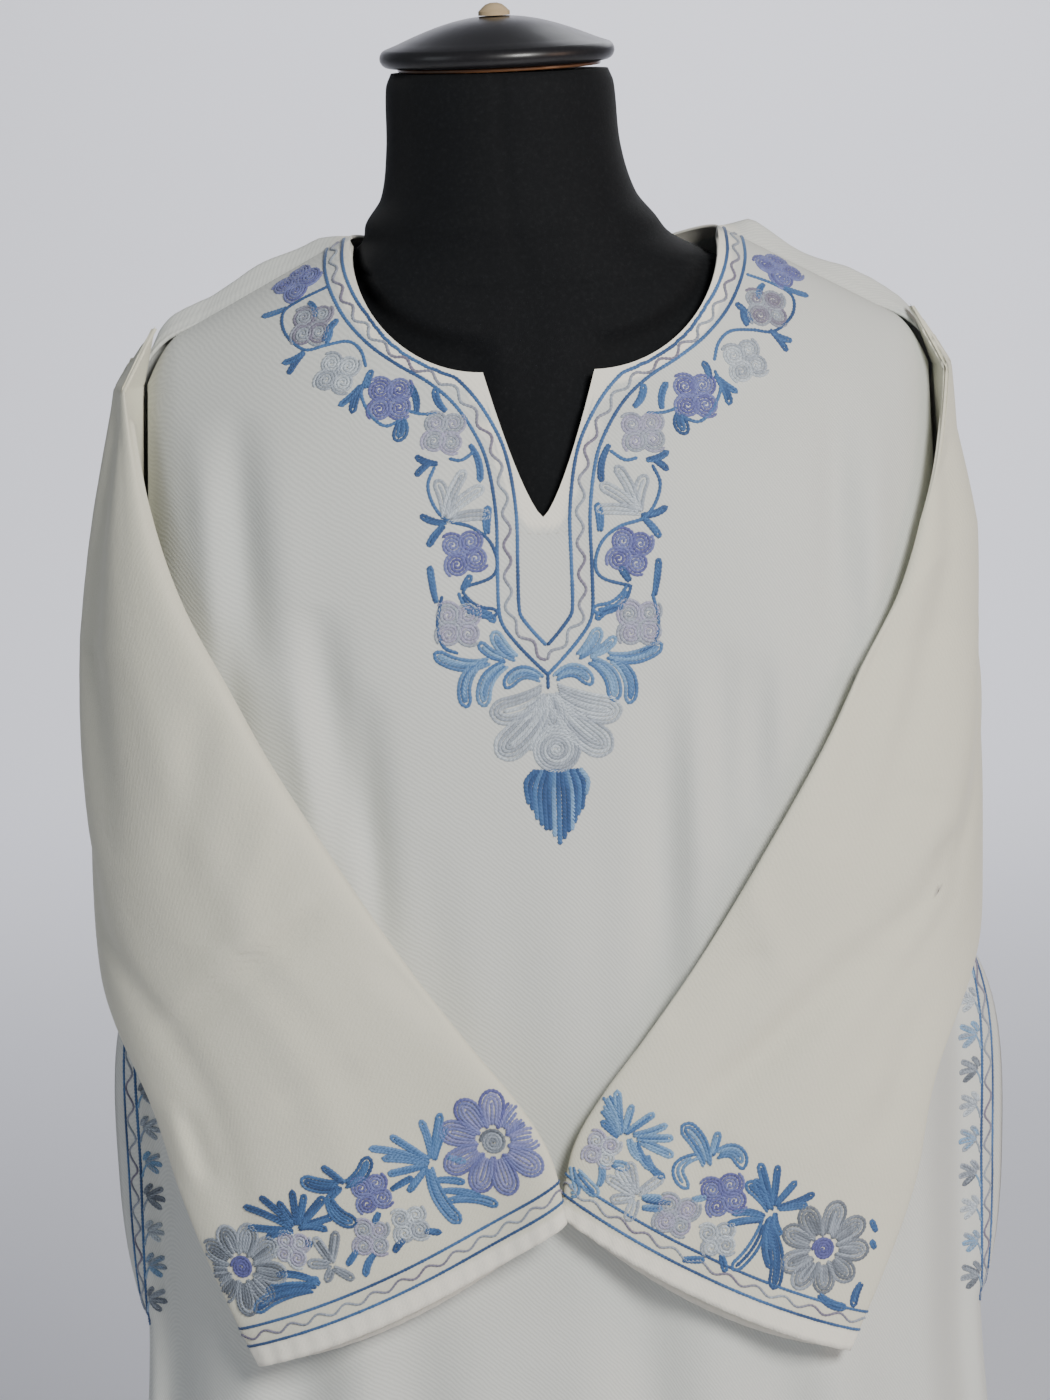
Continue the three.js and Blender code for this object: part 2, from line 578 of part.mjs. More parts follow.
// ---- Dress form, neck cap and stand ----
// The form's sections, kept clear of the inside of the cloth that hangs on it.
function formGeometry(around) {
  const rings = formSections.map((row) =>
    range(around).map((j) => {
      const angle = (2 * Math.PI * j) / around;
      const power = 2 / formSquareness;
      const wide = row.half * Math.sign(Math.cos(angle)) * Math.abs(Math.cos(angle)) ** power;
      const under = -neckPointDrop - clothWall - formClear - row.z;
      const reach = under > 0 ? neckHalf + under / shoulderSlope : neckHalf;
      const x = clamp(wide, garmentShift - row.shift - reach, garmentShift - row.shift + reach);
      const face = Math.sin(angle) > 0 ? "back" : "front";
      const fromMiddle = row.shift + x - garmentShift;
      const worn = row.z < topEdge(face, fromMiddle) + 12;
      const nearby = [-7, 0, 7].flatMap((across) => [0, 7].map((up) => [across, up]));
      const thinnest = Math.min(...nearby.map(([across, up]) => drapeDepth(face, fromMiddle + across, row.z + up)));
      const room = thinnest - clothWall - formClear;
      const folds = foldPush(face === "front" ? frontFolds : backFolds, fromMiddle, row.z);
      const wanted = row[face] * Math.abs(Math.sin(angle)) ** power;
      const depth = worn ? Math.min(wanted, Math.max(room + Math.min(0, folds), 0.5)) : wanted;
      return new THREE.Vector3(row.shift + x, face === "front" ? -depth : depth, row.z);
    }),
  );
  return loft(rings, true);
}

function turned(profile, around) {
  const points = profile.map(([r, z]) => new THREE.Vector2(r, z));
  const geometry = new THREE.LatheGeometry(points, around);
  geometry.rotateX(Math.PI / 2);
  return geometry;
}

function capGeometry() {
  const { radius, rim, height } = cap;
  const edge = range(9).map((i) => {
    const turn = radians(-90 + (150 * i) / 8);
    return [radius - rim / 2 + (rim / 2) * Math.cos(turn), rim / 2 + (rim / 2) * Math.sin(turn)];
  });
  const crown = range(6).map((i) => {
    const share = (i + 1) / 6;
    return [mix(radius - rim / 2, 24, share), mix(rim, height, Math.sin((share * Math.PI) / 2))];
  });
  return turned([[0, 0], ...edge, ...crown, [0, height]], 32);
}

function baseGeometry() {
  const { baseRadius, baseHeight, rimHeight, hubRadius, hubHeight } = stand;
  const dome = range(7).map((i) => {
    const share = i / 6;
    return [mix(baseRadius, hubRadius + 6, share), mix(rimHeight, baseHeight, Math.sin((share * Math.PI) / 2))];
  });
  return turned([[0, 0], [baseRadius - 3, 0], [baseRadius, 3], ...dome, [hubRadius, hubHeight], [0, hubHeight]], 40);
}

// ---- Assembly ----
const pheranOnForm = new THREE.Group();

function addPiece(name, geometry, finish, place = [0, 0, 0], turn = [0, 0, 0]) {
  geometry.deleteAttribute("normal");
  geometry.deleteAttribute("uv");
  const mesh = new THREE.Mesh(mergeVertices(geometry, 1e-4), finish);
  mesh.name = name;
  mesh.position.set(...place);
  mesh.rotation.set(...turn);
  pheranOnForm.add(mesh);
}

const garmentPlace = [garmentShift, 0, neckPointHeight];
const formPlace = [0, 0, neckPointHeight];
const sleeveStations = [0, 0.5, 1, 1.5, 2, 2.7, 3.4, 4.1, 4.8, 5.5, 6.2, 6.9, 7.6, 8.3, 9, 9.7, 10.35, 11];

addPiece("front_panel", panel("front", { slit: 3, neck: 6, shoulder: 13 }, 27), wool, garmentPlace);
addPiece("back_panel", panel("back", { neck: 5, shoulder: 11 }, 21), wool, garmentPlace);
for (const sleeve of sleeveSides) {
  addPiece(sleeve.name, sleeveGeometry(sleeve, 32, sleeveStations), wool, garmentPlace);
}
addPiece("pocket_bag_left", pocketBag(1, 20, 6), pocketing, garmentPlace);
addPiece("pocket_bag_right", pocketBag(-1, 20, 6), pocketing, garmentPlace);

const formTop = formSections[0].z;
const formFoot = formSections[formSections.length - 1].z;
addPiece("form_torso", formGeometry(36), blackJersey, formPlace);
const tilt = [radians(cap.lean), radians(-cap.tilt), 0];
const plateZ = neckPointHeight + formTop + 1.7;
addPiece("neck_plate", turned([[0, 0], [plate.radius, 0], [plate.radius, plate.height], [0, plate.height]], 40), varnishedWood, [-4, 0, plateZ], tilt);
const capZ = plateZ + plate.height + gap;
addPiece("neck_cap", capGeometry(), blackLacquer, [-5, 0, capZ], tilt);
addPiece(
  "cap_stub",
  turned([[0, 0], [cap.stubRadius, 0], [cap.stubRadius * 0.75, cap.stubHeight * 0.6], [2, cap.stubHeight], [0, cap.stubHeight]], 10),
  rawWood,
  [-6, -2, capZ + cap.height + gap],
  tilt,
);

const poleFoot = stand.hubHeight + gap;
const poleLength = neckPointHeight + formFoot - gap - poleFoot;
const pole = new THREE.CylinderGeometry(stand.poleRadius, stand.poleRadius, poleLength, 20);
pole.rotateX(Math.PI / 2);
addPiece("stand_pole", pole, paintedSteel, [0, 0, poleFoot + poleLength / 2]);
addPiece("stand_base", baseGeometry(), paintedSteel);

export default pheranOnForm;
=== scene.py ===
import bpy
import numpy as np
from mathutils import Matrix


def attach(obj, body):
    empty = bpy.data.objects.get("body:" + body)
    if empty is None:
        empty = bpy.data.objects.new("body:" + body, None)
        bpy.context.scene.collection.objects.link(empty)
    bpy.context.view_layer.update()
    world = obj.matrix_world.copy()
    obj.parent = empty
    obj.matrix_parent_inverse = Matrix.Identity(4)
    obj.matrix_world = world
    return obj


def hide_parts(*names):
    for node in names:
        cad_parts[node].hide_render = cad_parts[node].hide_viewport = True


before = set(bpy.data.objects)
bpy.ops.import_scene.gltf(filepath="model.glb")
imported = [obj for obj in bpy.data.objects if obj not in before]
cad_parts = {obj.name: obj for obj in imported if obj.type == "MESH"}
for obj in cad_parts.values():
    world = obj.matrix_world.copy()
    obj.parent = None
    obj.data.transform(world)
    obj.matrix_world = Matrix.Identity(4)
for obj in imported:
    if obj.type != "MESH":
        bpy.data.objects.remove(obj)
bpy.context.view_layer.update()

print("frame loaded:", len(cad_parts), "nodes")

# A pheran on a limbless dress form. Shapes are worked out in millimetres from the garment's neck point
# and put into the meshes in metres. The front faces -Y and +Z is up.
garment = {
    "shift": 13.0, "neckPoint": 1400.0, "hemDrop": 1100.0, "wall": 2.0, "seamHalf": 0.2,
    "neckHalf": 105.0, "neckDropFront": 77.0, "neckDropBack": 30.0, "neckPointDrop": 5.0,
    "slitHalf": 31.0, "slitDrop": 155.0, "slitCurve": 1.35,
    "shoulderSlope": 0.53, "shoulderTurn": 205.0, "shoulderBend": 0.045,
    "round": {"front": 160.0, "back": 150.0}, "squareness": 2.7,
    "armhole": (-88.0, -330.0, 14.0), "pocketMouth": (-432.0, -640.0, 8.0),
    "lip": {"front": 15.0, "back": 9.0}, "lipReach": {"front": 26.0, "back": 14.0},
    "wing": {"share": 0.5, "top": -390.0, "topFade": 60.0, "foot": -930.0, "footFade": 280.0,
             "at": 0.945, "width": 0.065},
    "chestFolds": {"deeper": 0.4, "foot": -600.0, "fade": 140.0}, "turnDepth": 105.0,
    "backRoll": (-52.0, -330.0, 14.0, 16.0),
    "yokeDrop": 215.0, "yokeShare": 0.46, "crowding": {"front": 1.6, "back": 2.3},
    "crest": {"height": 13.0, "grow": 20.0, "fadeFrom": 214.0, "fadeTo": 231.0, "behind": 10.0,
              "rise": 6.5, "fall": 14.0},
}
neckPlace = (garment["shift"], 0.0, garment["neckPoint"])

# height, half width, depth in front, depth behind
bodyTable = np.array([
    (90, 222, 88, 72), (0, 223, 91, 78), (-77, 225, 99, 90), (-150, 227, 121, 98), (-230, 230, 131, 102),
    (-330, 233, 133, 103), (-400, 238, 132, 104), (-470, 248, 131, 106), (-560, 248, 130, 108),
    (-680, 250, 132, 111), (-1100, 284, 146, 128)], float)
bodyColumn = {"half": 1, "front": 2, "back": 3}

# x at the top, x at the foot, top, foot, width, depth (outwards when positive)
hungFolds = {
    "front": [
        (-170, -164, -95, -240, 12, -7), (-196, -178, -100, -260, 9, 3), (-128, -112, -200, -345, 12, -7),
        (-104, -98, -245, -400, 11, -6), (166, 160, -90, -245, 11, -7), (192, 178, -95, -260, 10, 3),
        (118, 112, -235, -330, 11, -4), (98, 92, -225, -345, 10, -4), (66, 58, -240, -470, 13, -7),
        (-206, -238, -480, -1180, 21, -12), (-146, -168, -470, -1180, 20, -13), (-84, -98, -540, -1180, 20, -8),
        (-20, -30, -640, -1180, 20, -9), (44, 50, -500, -1180, 19, -12), (118, 132, -490, -1180, 20, -11),
        (180, 214, -470, -1180, 21, -13),
        # softer creases between the main folds
        (-150, -138, -110, -300, 16, 1.6), (-186, -170, -150, -330, 8, -2.2), (-142, -126, -235, -380, 8, 1.8),
        (-116, -104, -300, -430, 8, 1.5), (-70, -62, -330, -470, 14, -1.6), (-24, -30, -300, -520, 20, -1.2),
        (30, 22, -300, -480, 16, -1.4), (84, 78, -250, -420, 9, 1.8), (132, 124, -210, -330, 9, 1.6),
        (148, 140, -120, -300, 14, -1.4), (178, 166, -150, -320, 8, -2.0), (8, 4, -345, -640, 26, 1.2),
        (-178, -204, -520, -1180, 14, 3.0), (-116, -134, -520, -1180, 15, 2.5), (-52, -62, -600, -1180, 16, 2.0),
        (12, 12, -560, -1180, 17, 2.4), (82, 92, -540, -1180, 16, 2.6), (150, 172, -540, -1180, 15, 2.8),
    ],
    "back": [
        (-186, -226, -300, -1180, 24, -13), (-120, -150, -240, -1180, 24, -11), (-52, -66, -330, -1180, 23, -10),
        (20, 16, -420, -1180, 24, -11), (88, 100, -260, -1180, 24, -12), (160, 186, -300, -1180, 25, -12),
        (-150, -182, -340, -1180, 15, 2.6), (-84, -108, -380, -1180, 16, 2.4), (-16, -24, -420, -1180, 17, 2.2),
        (54, 58, -400, -1180, 16, 2.4), (126, 142, -340, -1180, 15, 2.6), (-40, -30, -60, -200, 22, -1.4),
        (62, 50, -70, -230, 20, -1.6), (-140, -120, -70, -240, 14, -2.0), (150, 132, -80, -250, 14, -2.0),
    ],
}


def smoothColumn(table, column, at):
    # a cubic between each two rows of the table, whose slope at a row is the chord of that row's neighbours
    order = np.argsort(table[:, 0])
    place, value = table[order, 0], table[order, column]
    slope = np.empty(len(place))
    slope[1:-1] = (value[2:] - value[:-2]) / (place[2:] - place[:-2])
    slope[0] = (value[1] - value[0]) / (place[1] - place[0])
    slope[-1] = (value[-1] - value[-2]) / (place[-1] - place[-2])
    at = np.clip(at, place[0], place[-1])
    i = np.clip(np.searchsorted(place, at, side="right") - 1, 0, len(place) - 2)
    span = place[i + 1] - place[i]
    t = (at - place[i]) / span
    return ((2 * t**3 - 3 * t**2 + 1) * value[i] + (t**3 - 2 * t**2 + t) * span * slope[i]
            + (3 * t**2 - 2 * t**3) * value[i + 1] + (t**3 - t**2) * span * slope[i + 1])


def bodySize(key, z):
    # half the width, or the depth on one face, of the body's section at a height
    return smoothColumn(bodyTable, bodyColumn[key], z)


def mix(a, b, share):
    # the straight line from a to b
    return a + (b - a) * share


def ease(share):
    # a cubic from 0 to 1 that is level at both ends
    return share * share * (3 - 2 * share)


def unit(vectors):
    # each vector over its own length
    return vectors / np.maximum(np.linalg.norm(vectors, axis=-1, keepdims=True), 1e-9)


def signedPower(values, power):
    # a power of the size, with the sign kept
    return np.sign(values) * np.abs(values) ** power


def pathLengths(points):
    # length along a path at each of its points
    return np.concatenate([[0], np.cumsum(np.linalg.norm(np.diff(points, axis=0), axis=1))])


def rowLengths(x, y):
    # length along each row of a grid at each of its columns
    return np.cumsum(np.hypot(np.diff(x, axis=1, prepend=x[:, :1]), np.diff(y, axis=1, prepend=y[:, :1])), axis=1)


def stepInto(run, wanted):
    # the step of each row that the wanted length falls in, and the share of that step
    rows = np.arange(len(run))
    i = np.clip((run < wanted[:, None]).sum(axis=1) - 1, 0, run.shape[1] - 2)
    return rows, i, (wanted - run[rows, i]) / np.maximum(run[rows, i + 1] - run[rows, i], 1e-6)


def eye(opening, z):
    # half an ellipse upright between the opening's top and bottom, 1 at its middle and 0 beyond its ends
    share = (z - (opening[0] + opening[1]) / 2) / ((opening[0] - opening[1]) / 2)
    return np.sqrt(np.maximum(0, 1 - share * share))


def shoulderLine(x):
    # a shallow dome across the neck, a straight slope beyond it, and a parabola down at the shoulder's end
    g = garment
    across = np.abs(x)
    dome = -g["neckPointDrop"] + g["shoulderSlope"] * (g["neckHalf"] ** 2 - x * x) / (2 * g["neckHalf"])
    turned = np.maximum(0, across - g["shoulderTurn"])
    slope = -g["neckPointDrop"] - g["shoulderSlope"] * (across - g["neckHalf"]) - g["shoulderBend"] * turned**2
    return np.where(across <= g["neckHalf"], dome, slope)


def neckline(face, x):
    # behind, a bell that leaves the neck point level; in front, a quarter ellipse on each side of a slit
    # that narrows as a power of the distance across
    g = garment
    across = np.abs(x)
    if face == "back":
        arc = np.maximum(0, 1 - (across / g["neckHalf"]) ** 2) ** 1.5
        return -g["neckPointDrop"] - (g["neckDropBack"] - g["neckPointDrop"]) * arc
    slit = mix(-g["slitDrop"], -g["neckDropFront"], np.clip(across / g["slitHalf"], 0, 1) ** g["slitCurve"])
    reach = (across - g["slitHalf"]) / (g["neckHalf"] - g["slitHalf"])
    arc = np.sqrt(np.clip(1 - reach**2, 0, 1))
    curve = -g["neckPointDrop"] - (g["neckDropFront"] - g["neckPointDrop"]) * arc
    return np.where(across < g["slitHalf"], slit, curve)


def foldPush(folds, x, z):
    # each fold is a bell curve across, swelling as the sine of the way down it
    push = np.zeros(np.broadcast(x, z).shape)
    for atTop, atFoot, top, foot, width, depth in folds:
        down = np.clip((top - z) / (top - foot), 0, 1)
        off = (x - mix(atTop, atFoot, down)) / width
        push += depth * np.sin(np.pi * down) ** 0.8 * np.exp(-off * off)
    return push


def slack(x, z):
    # three long waves that cross, for cloth that never hangs quite flat
    return (0.8 * np.sin(x / 31 + z / 67 + 0.6) + 0.5 * np.sin(x / 17 - z / 49 + 2.1)
            + 0.35 * np.sin(z / 23 + np.sin(x / 41)))


def drapeDepth(face, x, z):
    # a squared ellipse in plan, times a quarter circle from the shoulder line down
    turn = np.clip((shoulderLine(x) - z) / garment["round"][face], 0, 1)
    across = np.clip(np.abs(x) / bodySize("half", z), 0, 1)
    section = (1 - across ** garment["squareness"]) ** (1 / garment["squareness"])
    return bodySize(face, z) * section * np.sqrt(1 - (1 - turn) ** 2)


def wingShare(face, x, z):
    # a bell across near the side edge, from above the pocket to well below it, where the front lies flatter
    if face == "back":
        return 0.0
    w = garment["wing"]
    tall = np.clip((w["top"] - z) / w["topFade"], 0, 1) * np.clip((z - w["foot"]) / w["footFade"], 0, 1)
    across = (np.abs(x) / bodySize("half", z) - w["at"]) / w["width"]
    return w["share"] * ease(tall) * np.exp(-across * across)


def clothOut(face, x, z):
    # the drape, its folds and its slack, which fade out towards the seams
    depth = drapeDepth(face, x, z) * (1 - wingShare(face, x, z))
    loose = np.clip(1.6 * depth / bodySize(face, z), 0, 1)
    # the folds of the chest are the deepest against their size
    chest = garment["chestFolds"]
    deeper = 1 + chest["deeper"] * np.clip((z - chest["foot"]) / chest["fade"], 0, 1) if face == "front" else 1
    folded = depth + (deeper * foldPush(hungFolds[face], x, z) + slack(x, z)) * loose
    return np.maximum(folded, garment["seamHalf"])


def seamGap(z):
    # half the opening at the side seam: the larger of two upright half ellipses, the armhole's and the pocket's
    hole, pocket = garment["armhole"], garment["pocketMouth"]
    return np.maximum(hole[2] * eye(hole, z), pocket[2] * eye(pocket, z))


def edgeAngle(face, z):
    # the angle round the section at which the cloth stands off the seam's plane by the seam's gap
    wanted = seamGap(z)
    angle = np.full(np.shape(z), np.pi / 2)
    for _ in range(12):
        x = bodySize("half", z) * np.sin(angle) ** (2 / garment["squareness"])
        turn = np.clip((shoulderLine(x) - z) / garment["round"][face], 0.02, 1)
        full = bodySize(face, z) * np.sqrt(1 - (1 - turn) ** 2)
        new = np.arccos(np.clip(wanted / full, 0, 0.2) ** (garment["squareness"] / 2))
        angle = np.where(wanted > 0, (angle + new) / 2, angle)
    return angle


def shareX(face, share, z):
    # x at a share of the way round the section, from the neck point to the seam
    g = garment
    start = np.arcsin((g["neckHalf"] / bodySize("half", -g["neckPointDrop"])) ** (g["squareness"] / 2))
    return bodySize("half", z) * np.sin(mix(start, edgeAngle(face, z), share)) ** (2 / g["squareness"])


def crestRise(x, behind):
    # a roll just behind the shoulder line, steep in front and lumpy along it, fading at the shoulder's end
    c = garment["crest"]
    across = np.abs(x)
    grow = np.clip((across - garment["neckHalf"]) / c["grow"], 0, 1)
    fade = np.clip((c["fadeTo"] - across) / (c["fadeTo"] - c["fadeFrom"]), 0, 1)
    lumps = 1 + 0.12 * np.sin(x / 9) + 0.1 * np.sin(x / 15 + 1)
    width = np.where(behind < c["behind"], c["rise"], c["fall"])
    roll = np.exp(-(np.abs((behind - c["behind"]) / width) ** 1.5)) * np.clip(behind / 3, 0, 1)
    return c["height"] * grow * fade * lumps * roll


def panelGrid(face, counts, rows):
    # rows follow the neckline and the shoulder and even out below the yoke; columns run from the middle out
    g = garment
    slitColumns = g["slitHalf"] * np.arange(counts[0]) / max(1, counts[0])
    start = g["slitHalf"] if counts[0] else 0.0
    turns = np.arange(counts[1]) / counts[1] * np.pi / 2
    neckColumns = np.concatenate([slitColumns, start + (g["neckHalf"] - start) * np.sin(turns)])
    shares = np.linspace(0, 1, counts[2] + 1)
    topNeck = neckline(face, neckColumns)
    topShoulder = np.full(len(shares), -g["neckPointDrop"])
    for _ in range(30):
        topShoulder = (topShoulder + shoulderLine(shareX(face, shares, topShoulder))) / 2
    down = (np.arange(rows + 1) / rows)[:, None]
    top = np.concatenate([topNeck, topShoulder])[None, :]
    upper = mix(top, -g["yokeDrop"], np.clip(down / g["yokeShare"], 0, 1) ** g["crowding"][face])
    lower = mix(-g["yokeDrop"], -g["hemDrop"], (down - g["yokeShare"]) / (1 - g["yokeShare"]))
    z = np.where(down < g["yokeShare"], upper, lower)
    k = len(neckColumns)
    xNeck = neckColumns * bodySize("half", z[:, :k]) / bodySize("half", topNeck)
    xShoulder = shareX(face, shares[None, :], z[:, k:])
    half = np.concatenate([xNeck, xShoulder], axis=1)
    x = np.concatenate([-half[:, :0:-1], half], axis=1)
    z = np.concatenate([z[:, :0:-1], z], axis=1)
    side = np.where(np.arange(x.shape[1]) < half.shape[1] - 1, -1.0, 1.0)
    depth = drapeDepth(face, x, z)
    out = clothOut(face, x, z)
    nearEdge = np.exp(-np.maximum(0, depth - g["pocketMouth"][2]) / g["lipReach"][face])
    lip = g["lip"][face] * eye(g["pocketMouth"], z) * nearEdge
    if face == "back":
        rollTop, rollFoot, far, reach = g["backRoll"]
        lip += far * eye((rollTop, rollFoot), z) * np.exp(-np.maximum(0, depth - seamGap(z)) / reach)
    rise = crestRise(x, depth) if face == "back" else 0.0
    # the cloth's own measure: how far across it and how far down it from the shoulder, for the weave
    turn = np.clip((shoulderLine(x) - z) / g["round"][face], 0, 1)
    bends = np.linspace(0, np.pi / 2, 60)
    arcs = np.cumsum(np.hypot(g["turnDepth"] * np.cos(bends), g["round"][face] * np.sin(bends))) * bends[1]
    arch = np.interp(np.arccos(1 - turn), bends, arcs) + np.maximum(0, shoulderLine(x) - z - g["round"][face])
    flat = np.stack([rowLengths(x, out), arch], axis=-1)
    flat[:, :, 0] -= flat[:, half.shape[1] - 1:half.shape[1], 0]
    y = -out if face == "front" else out
    return np.stack([x + side * lip, y, z + rise], axis=-1), flat


def gridNormals(grid, closed):
    # the cross product of the way down the grid and the way across it
    along = np.gradient(grid, axis=0)
    if closed:
        across = np.roll(grid, -1, axis=1) - np.roll(grid, 1, axis=1)
    else:
        across = np.gradient(grid, axis=1)
    return unit(np.cross(along, across))


def wallFaces(rows, columns, closed, flip):
    # outer quads, inner quads and the rims between them, for two layers of one grid
    last = columns if closed else columns - 1
    i, j = np.meshgrid(np.arange(rows - 1), np.arange(last), indexing="ij")
    k = (j + 1) % columns
    size = rows * columns
    a, b, c, d = i * columns + j, (i + 1) * columns + j, (i + 1) * columns + k, i * columns + k
    quads = [np.stack([a, b, c, d], -1).reshape(-1, 4), (np.stack([a, d, c, b], -1) + size).reshape(-1, 4)]
    m = np.arange(last)
    n = (m + 1) % columns
    foot = (rows - 1) * columns
    quads.append(np.stack([m, n, size + n, size + m], -1))
    quads.append(np.stack([foot + m, size + foot + m, size + foot + n, foot + n], -1))
    if not closed:
        r = np.arange(rows - 1) * columns
        s = r + columns
        e = columns - 1
        quads.append(np.stack([r, size + r, size + s, s], -1))
        quads.append(np.stack([r + e, s + e, size + s + e, size + r + e], -1))
    quads = np.concatenate(quads)
    return quads[:, ::-1] if flip else quads


def tubeFaces(rows, columns):
    # the quads of a closed grid of rings, and the fans of its ends about the two points that follow the grid
    i, j = np.meshgrid(np.arange(rows - 1), np.arange(columns), indexing="ij")
    k = (j + 1) % columns
    a, b, c, d = i * columns + j, i * columns + k, (i + 1) * columns + k, (i + 1) * columns + j
    m = np.arange(columns)
    n = (m + 1) % columns
    size = rows * columns
    foot = size - columns
    topFan = np.stack([np.full(columns, size), n, m], -1)
    footFan = np.stack([np.full(columns, size + 1), foot + m, foot + n], -1)
    return np.stack([a, b, c, d], -1).reshape(-1, 4), np.concatenate([topFan, footFan])


def newPiece(name, points, quads, material, triangles=None, flat=None, colour=None, pale=None,
             shift=neckPlace, sharp=None):
    # puts whole arrays of points and faces into a mesh, from millimetres to metres
    mesh = bpy.data.meshes.new(name)
    points = (np.asarray(points, float).reshape(-1, 3) + np.array(shift)) / 1000
    mesh.vertices.add(len(points))
    mesh.vertices.foreach_set("co", points.astype(np.float32).ravel())
    loops = np.asarray(quads, np.int32).ravel()
    starts = np.arange(len(quads)) * 4
    if triangles is not None and len(triangles):
        starts = np.concatenate([starts, len(loops) + np.arange(len(triangles)) * 3])
        loops = np.concatenate([loops, np.asarray(triangles, np.int32).ravel()])
    mesh.loops.add(len(loops))
    mesh.loops.foreach_set("vertex_index", loops.astype(np.int32))
    mesh.polygons.add(len(starts))
    mesh.polygons.foreach_set("loop_start", starts.astype(np.int32))
    mesh.polygons.foreach_set("use_smooth", np.ones(len(starts), bool))
    if flat is not None:
        layer = mesh.uv_layers.new(name="clothMeasure")
        layer.data.foreach_set("uv", np.asarray(flat, np.float32).reshape(-1, 2)[loops].ravel())
    mesh.update(calc_edges=True)
    if colour is not None:
        layer = mesh.color_attributes.new(name="thread", type="FLOAT_COLOR", domain="POINT")
        layer.data.foreach_set("color", np.asarray(colour, np.float32).ravel())
    if pale is not None:
        layer = mesh.attributes.new(name="pale", type="FLOAT", domain="POINT")
        layer.data.foreach_set("value", np.asarray(pale, np.float32).ravel())
    if sharp is not None:
        mesh.set_sharp_from_angle(angle=np.radians(sharp))
    mesh.materials.append(material)
    piece = bpy.data.objects.new(name, mesh)
    bpy.context.scene.collection.objects.link(piece)
    return piece


def clothShell(name, grid, flat, material, closed=False, flip=False, flatten=None, pale=None):
    # the outer face is the grid; the inner face lies one cloth's thickness inside it along the normals
    normal = gridNormals(grid, closed) * (-1 if flip else 1)
    if flatten is not None:
        flatten(normal)
        normal = unit(normal)
    inner = grid - normal * garment["wall"]
    pale = np.zeros(grid.shape[:2]) if pale is None else pale
    points = np.concatenate([grid.reshape(-1, 3), inner.reshape(-1, 3)])
    quads = wallFaces(grid.shape[0], grid.shape[1], closed, flip)
    return newPiece(name, points, quads, material, flat=np.concatenate([flat.reshape(-1, 2)] * 2),
                    pale=np.concatenate([pale.ravel()] * 2))


# materials
def nodeGroup(name, inputs, outputs):
    # an input without a value is a vector; every other socket is a number
    tree = bpy.data.node_groups.new(name, "ShaderNodeTree")
    for label, value in inputs.items():
        kind = "NodeSocketVector" if value is None else "NodeSocketFloat"
        socket = tree.interface.new_socket(name=label, in_out="INPUT", socket_type=kind)
        if value is not None:
            socket.default_value = value
    for label in outputs:
        tree.interface.new_socket(name=label, in_out="OUTPUT", socket_type="NodeSocketFloat")
    return tree, tree.nodes.new("NodeGroupInput"), tree.nodes.new("NodeGroupOutput")


def calc(tree, operation, first, second=None, third=None):
    # a Math node on numbers or sockets
    node = tree.nodes.new("ShaderNodeMath")
    node.operation = operation
    for socket, value in zip(node.inputs, (first, second, third)):
        if value is None:
            continue
        if isinstance(value, (int, float)):
            socket.default_value = value
        else:
            tree.links.new(value, socket)
    return node.outputs[0]


def noise(tree, vector, scale, detail=2.0, rough=0.5):
    # one noise, as a number from 0 to 1
    node = tree.nodes.new("ShaderNodeTexNoise")
    node.inputs["Scale"].default_value = scale
    node.inputs["Detail"].default_value = detail
    node.inputs["Roughness"].default_value = rough
    tree.links.new(vector, node.inputs["Vector"])
    return node.outputs[0]


def blendColour(tree, kind, share, first, second):
    # two colours mixed or multiplied, each a value or a socket
    node = tree.nodes.new("ShaderNodeMix")
    node.data_type = "RGBA"
    node.blend_type = kind
    for socket, value in ((node.inputs[0], share), (node.inputs[6], first), (node.inputs[7], second)):
        if isinstance(value, bpy.types.NodeSocket):
            tree.links.new(value, socket)
        else:
            socket.default_value = value
    return node.outputs[2]


def twillGroup():
    # slanting ribs: the sine of the distance across them, broken up by two noises, plus the fuzz of the nap; the
    # Shade output is painted shade for the grooves between the ribs
    inputs = {"Measure": None, "Place": None, "Rib Pitch": 1.9, "Slant": 0.62, "Rib Depth": 1.0, "Nap": 0.5}
    tree, come, go = nodeGroup("twillWeave", inputs, ("Height", "Shade", "Mottle"))
    parts = tree.nodes.new("ShaderNodeSeparateXYZ")
    tree.links.new(come.outputs["Measure"], parts.inputs[0])
    slow = calc(tree, "MULTIPLY", calc(tree, "SUBTRACT", noise(tree, come.outputs["Measure"], 0.07), 0.5), 3.0)
    quick = calc(tree, "MULTIPLY", calc(tree, "SUBTRACT", noise(tree, come.outputs["Measure"], 0.5), 0.5), 0.9)
    wander = calc(tree, "ADD", slow, quick)
    across = calc(tree, "MULTIPLY", parts.outputs[0], calc(tree, "SINE", come.outputs["Slant"]))
    down = calc(tree, "MULTIPLY", parts.outputs[1], calc(tree, "COSINE", come.outputs["Slant"]))
    run = calc(tree, "ADD", calc(tree, "SUBTRACT", down, across), wander)
    phase = calc(tree, "DIVIDE", calc(tree, "MULTIPLY", run, 6.2832), come.outputs["Rib Pitch"])
    rib = calc(tree, "MULTIPLY", calc(tree, "SINE", phase), come.outputs["Rib Depth"])
    fuzz = noise(tree, come.outputs["Place"], 900.0, 3.0, 0.6)
    coarse = noise(tree, come.outputs["Place"], 240.0, 2.0)
    nap = calc(tree, "MULTIPLY", calc(tree, "ADD", fuzz, coarse), come.outputs["Nap"])
    tree.links.new(calc(tree, "ADD", calc(tree, "MULTIPLY", rib, 0.22), nap), go.inputs["Height"])
    # painted shade: a share that darkens the colour in the grooves between the ribs
    tree.links.new(calc(tree, "MULTIPLY_ADD", rib, 0.5, 0.5), go.inputs["Shade"])
    tree.links.new(noise(tree, come.outputs["Place"], 7.0, 3.0), go.inputs["Mottle"])
    return tree


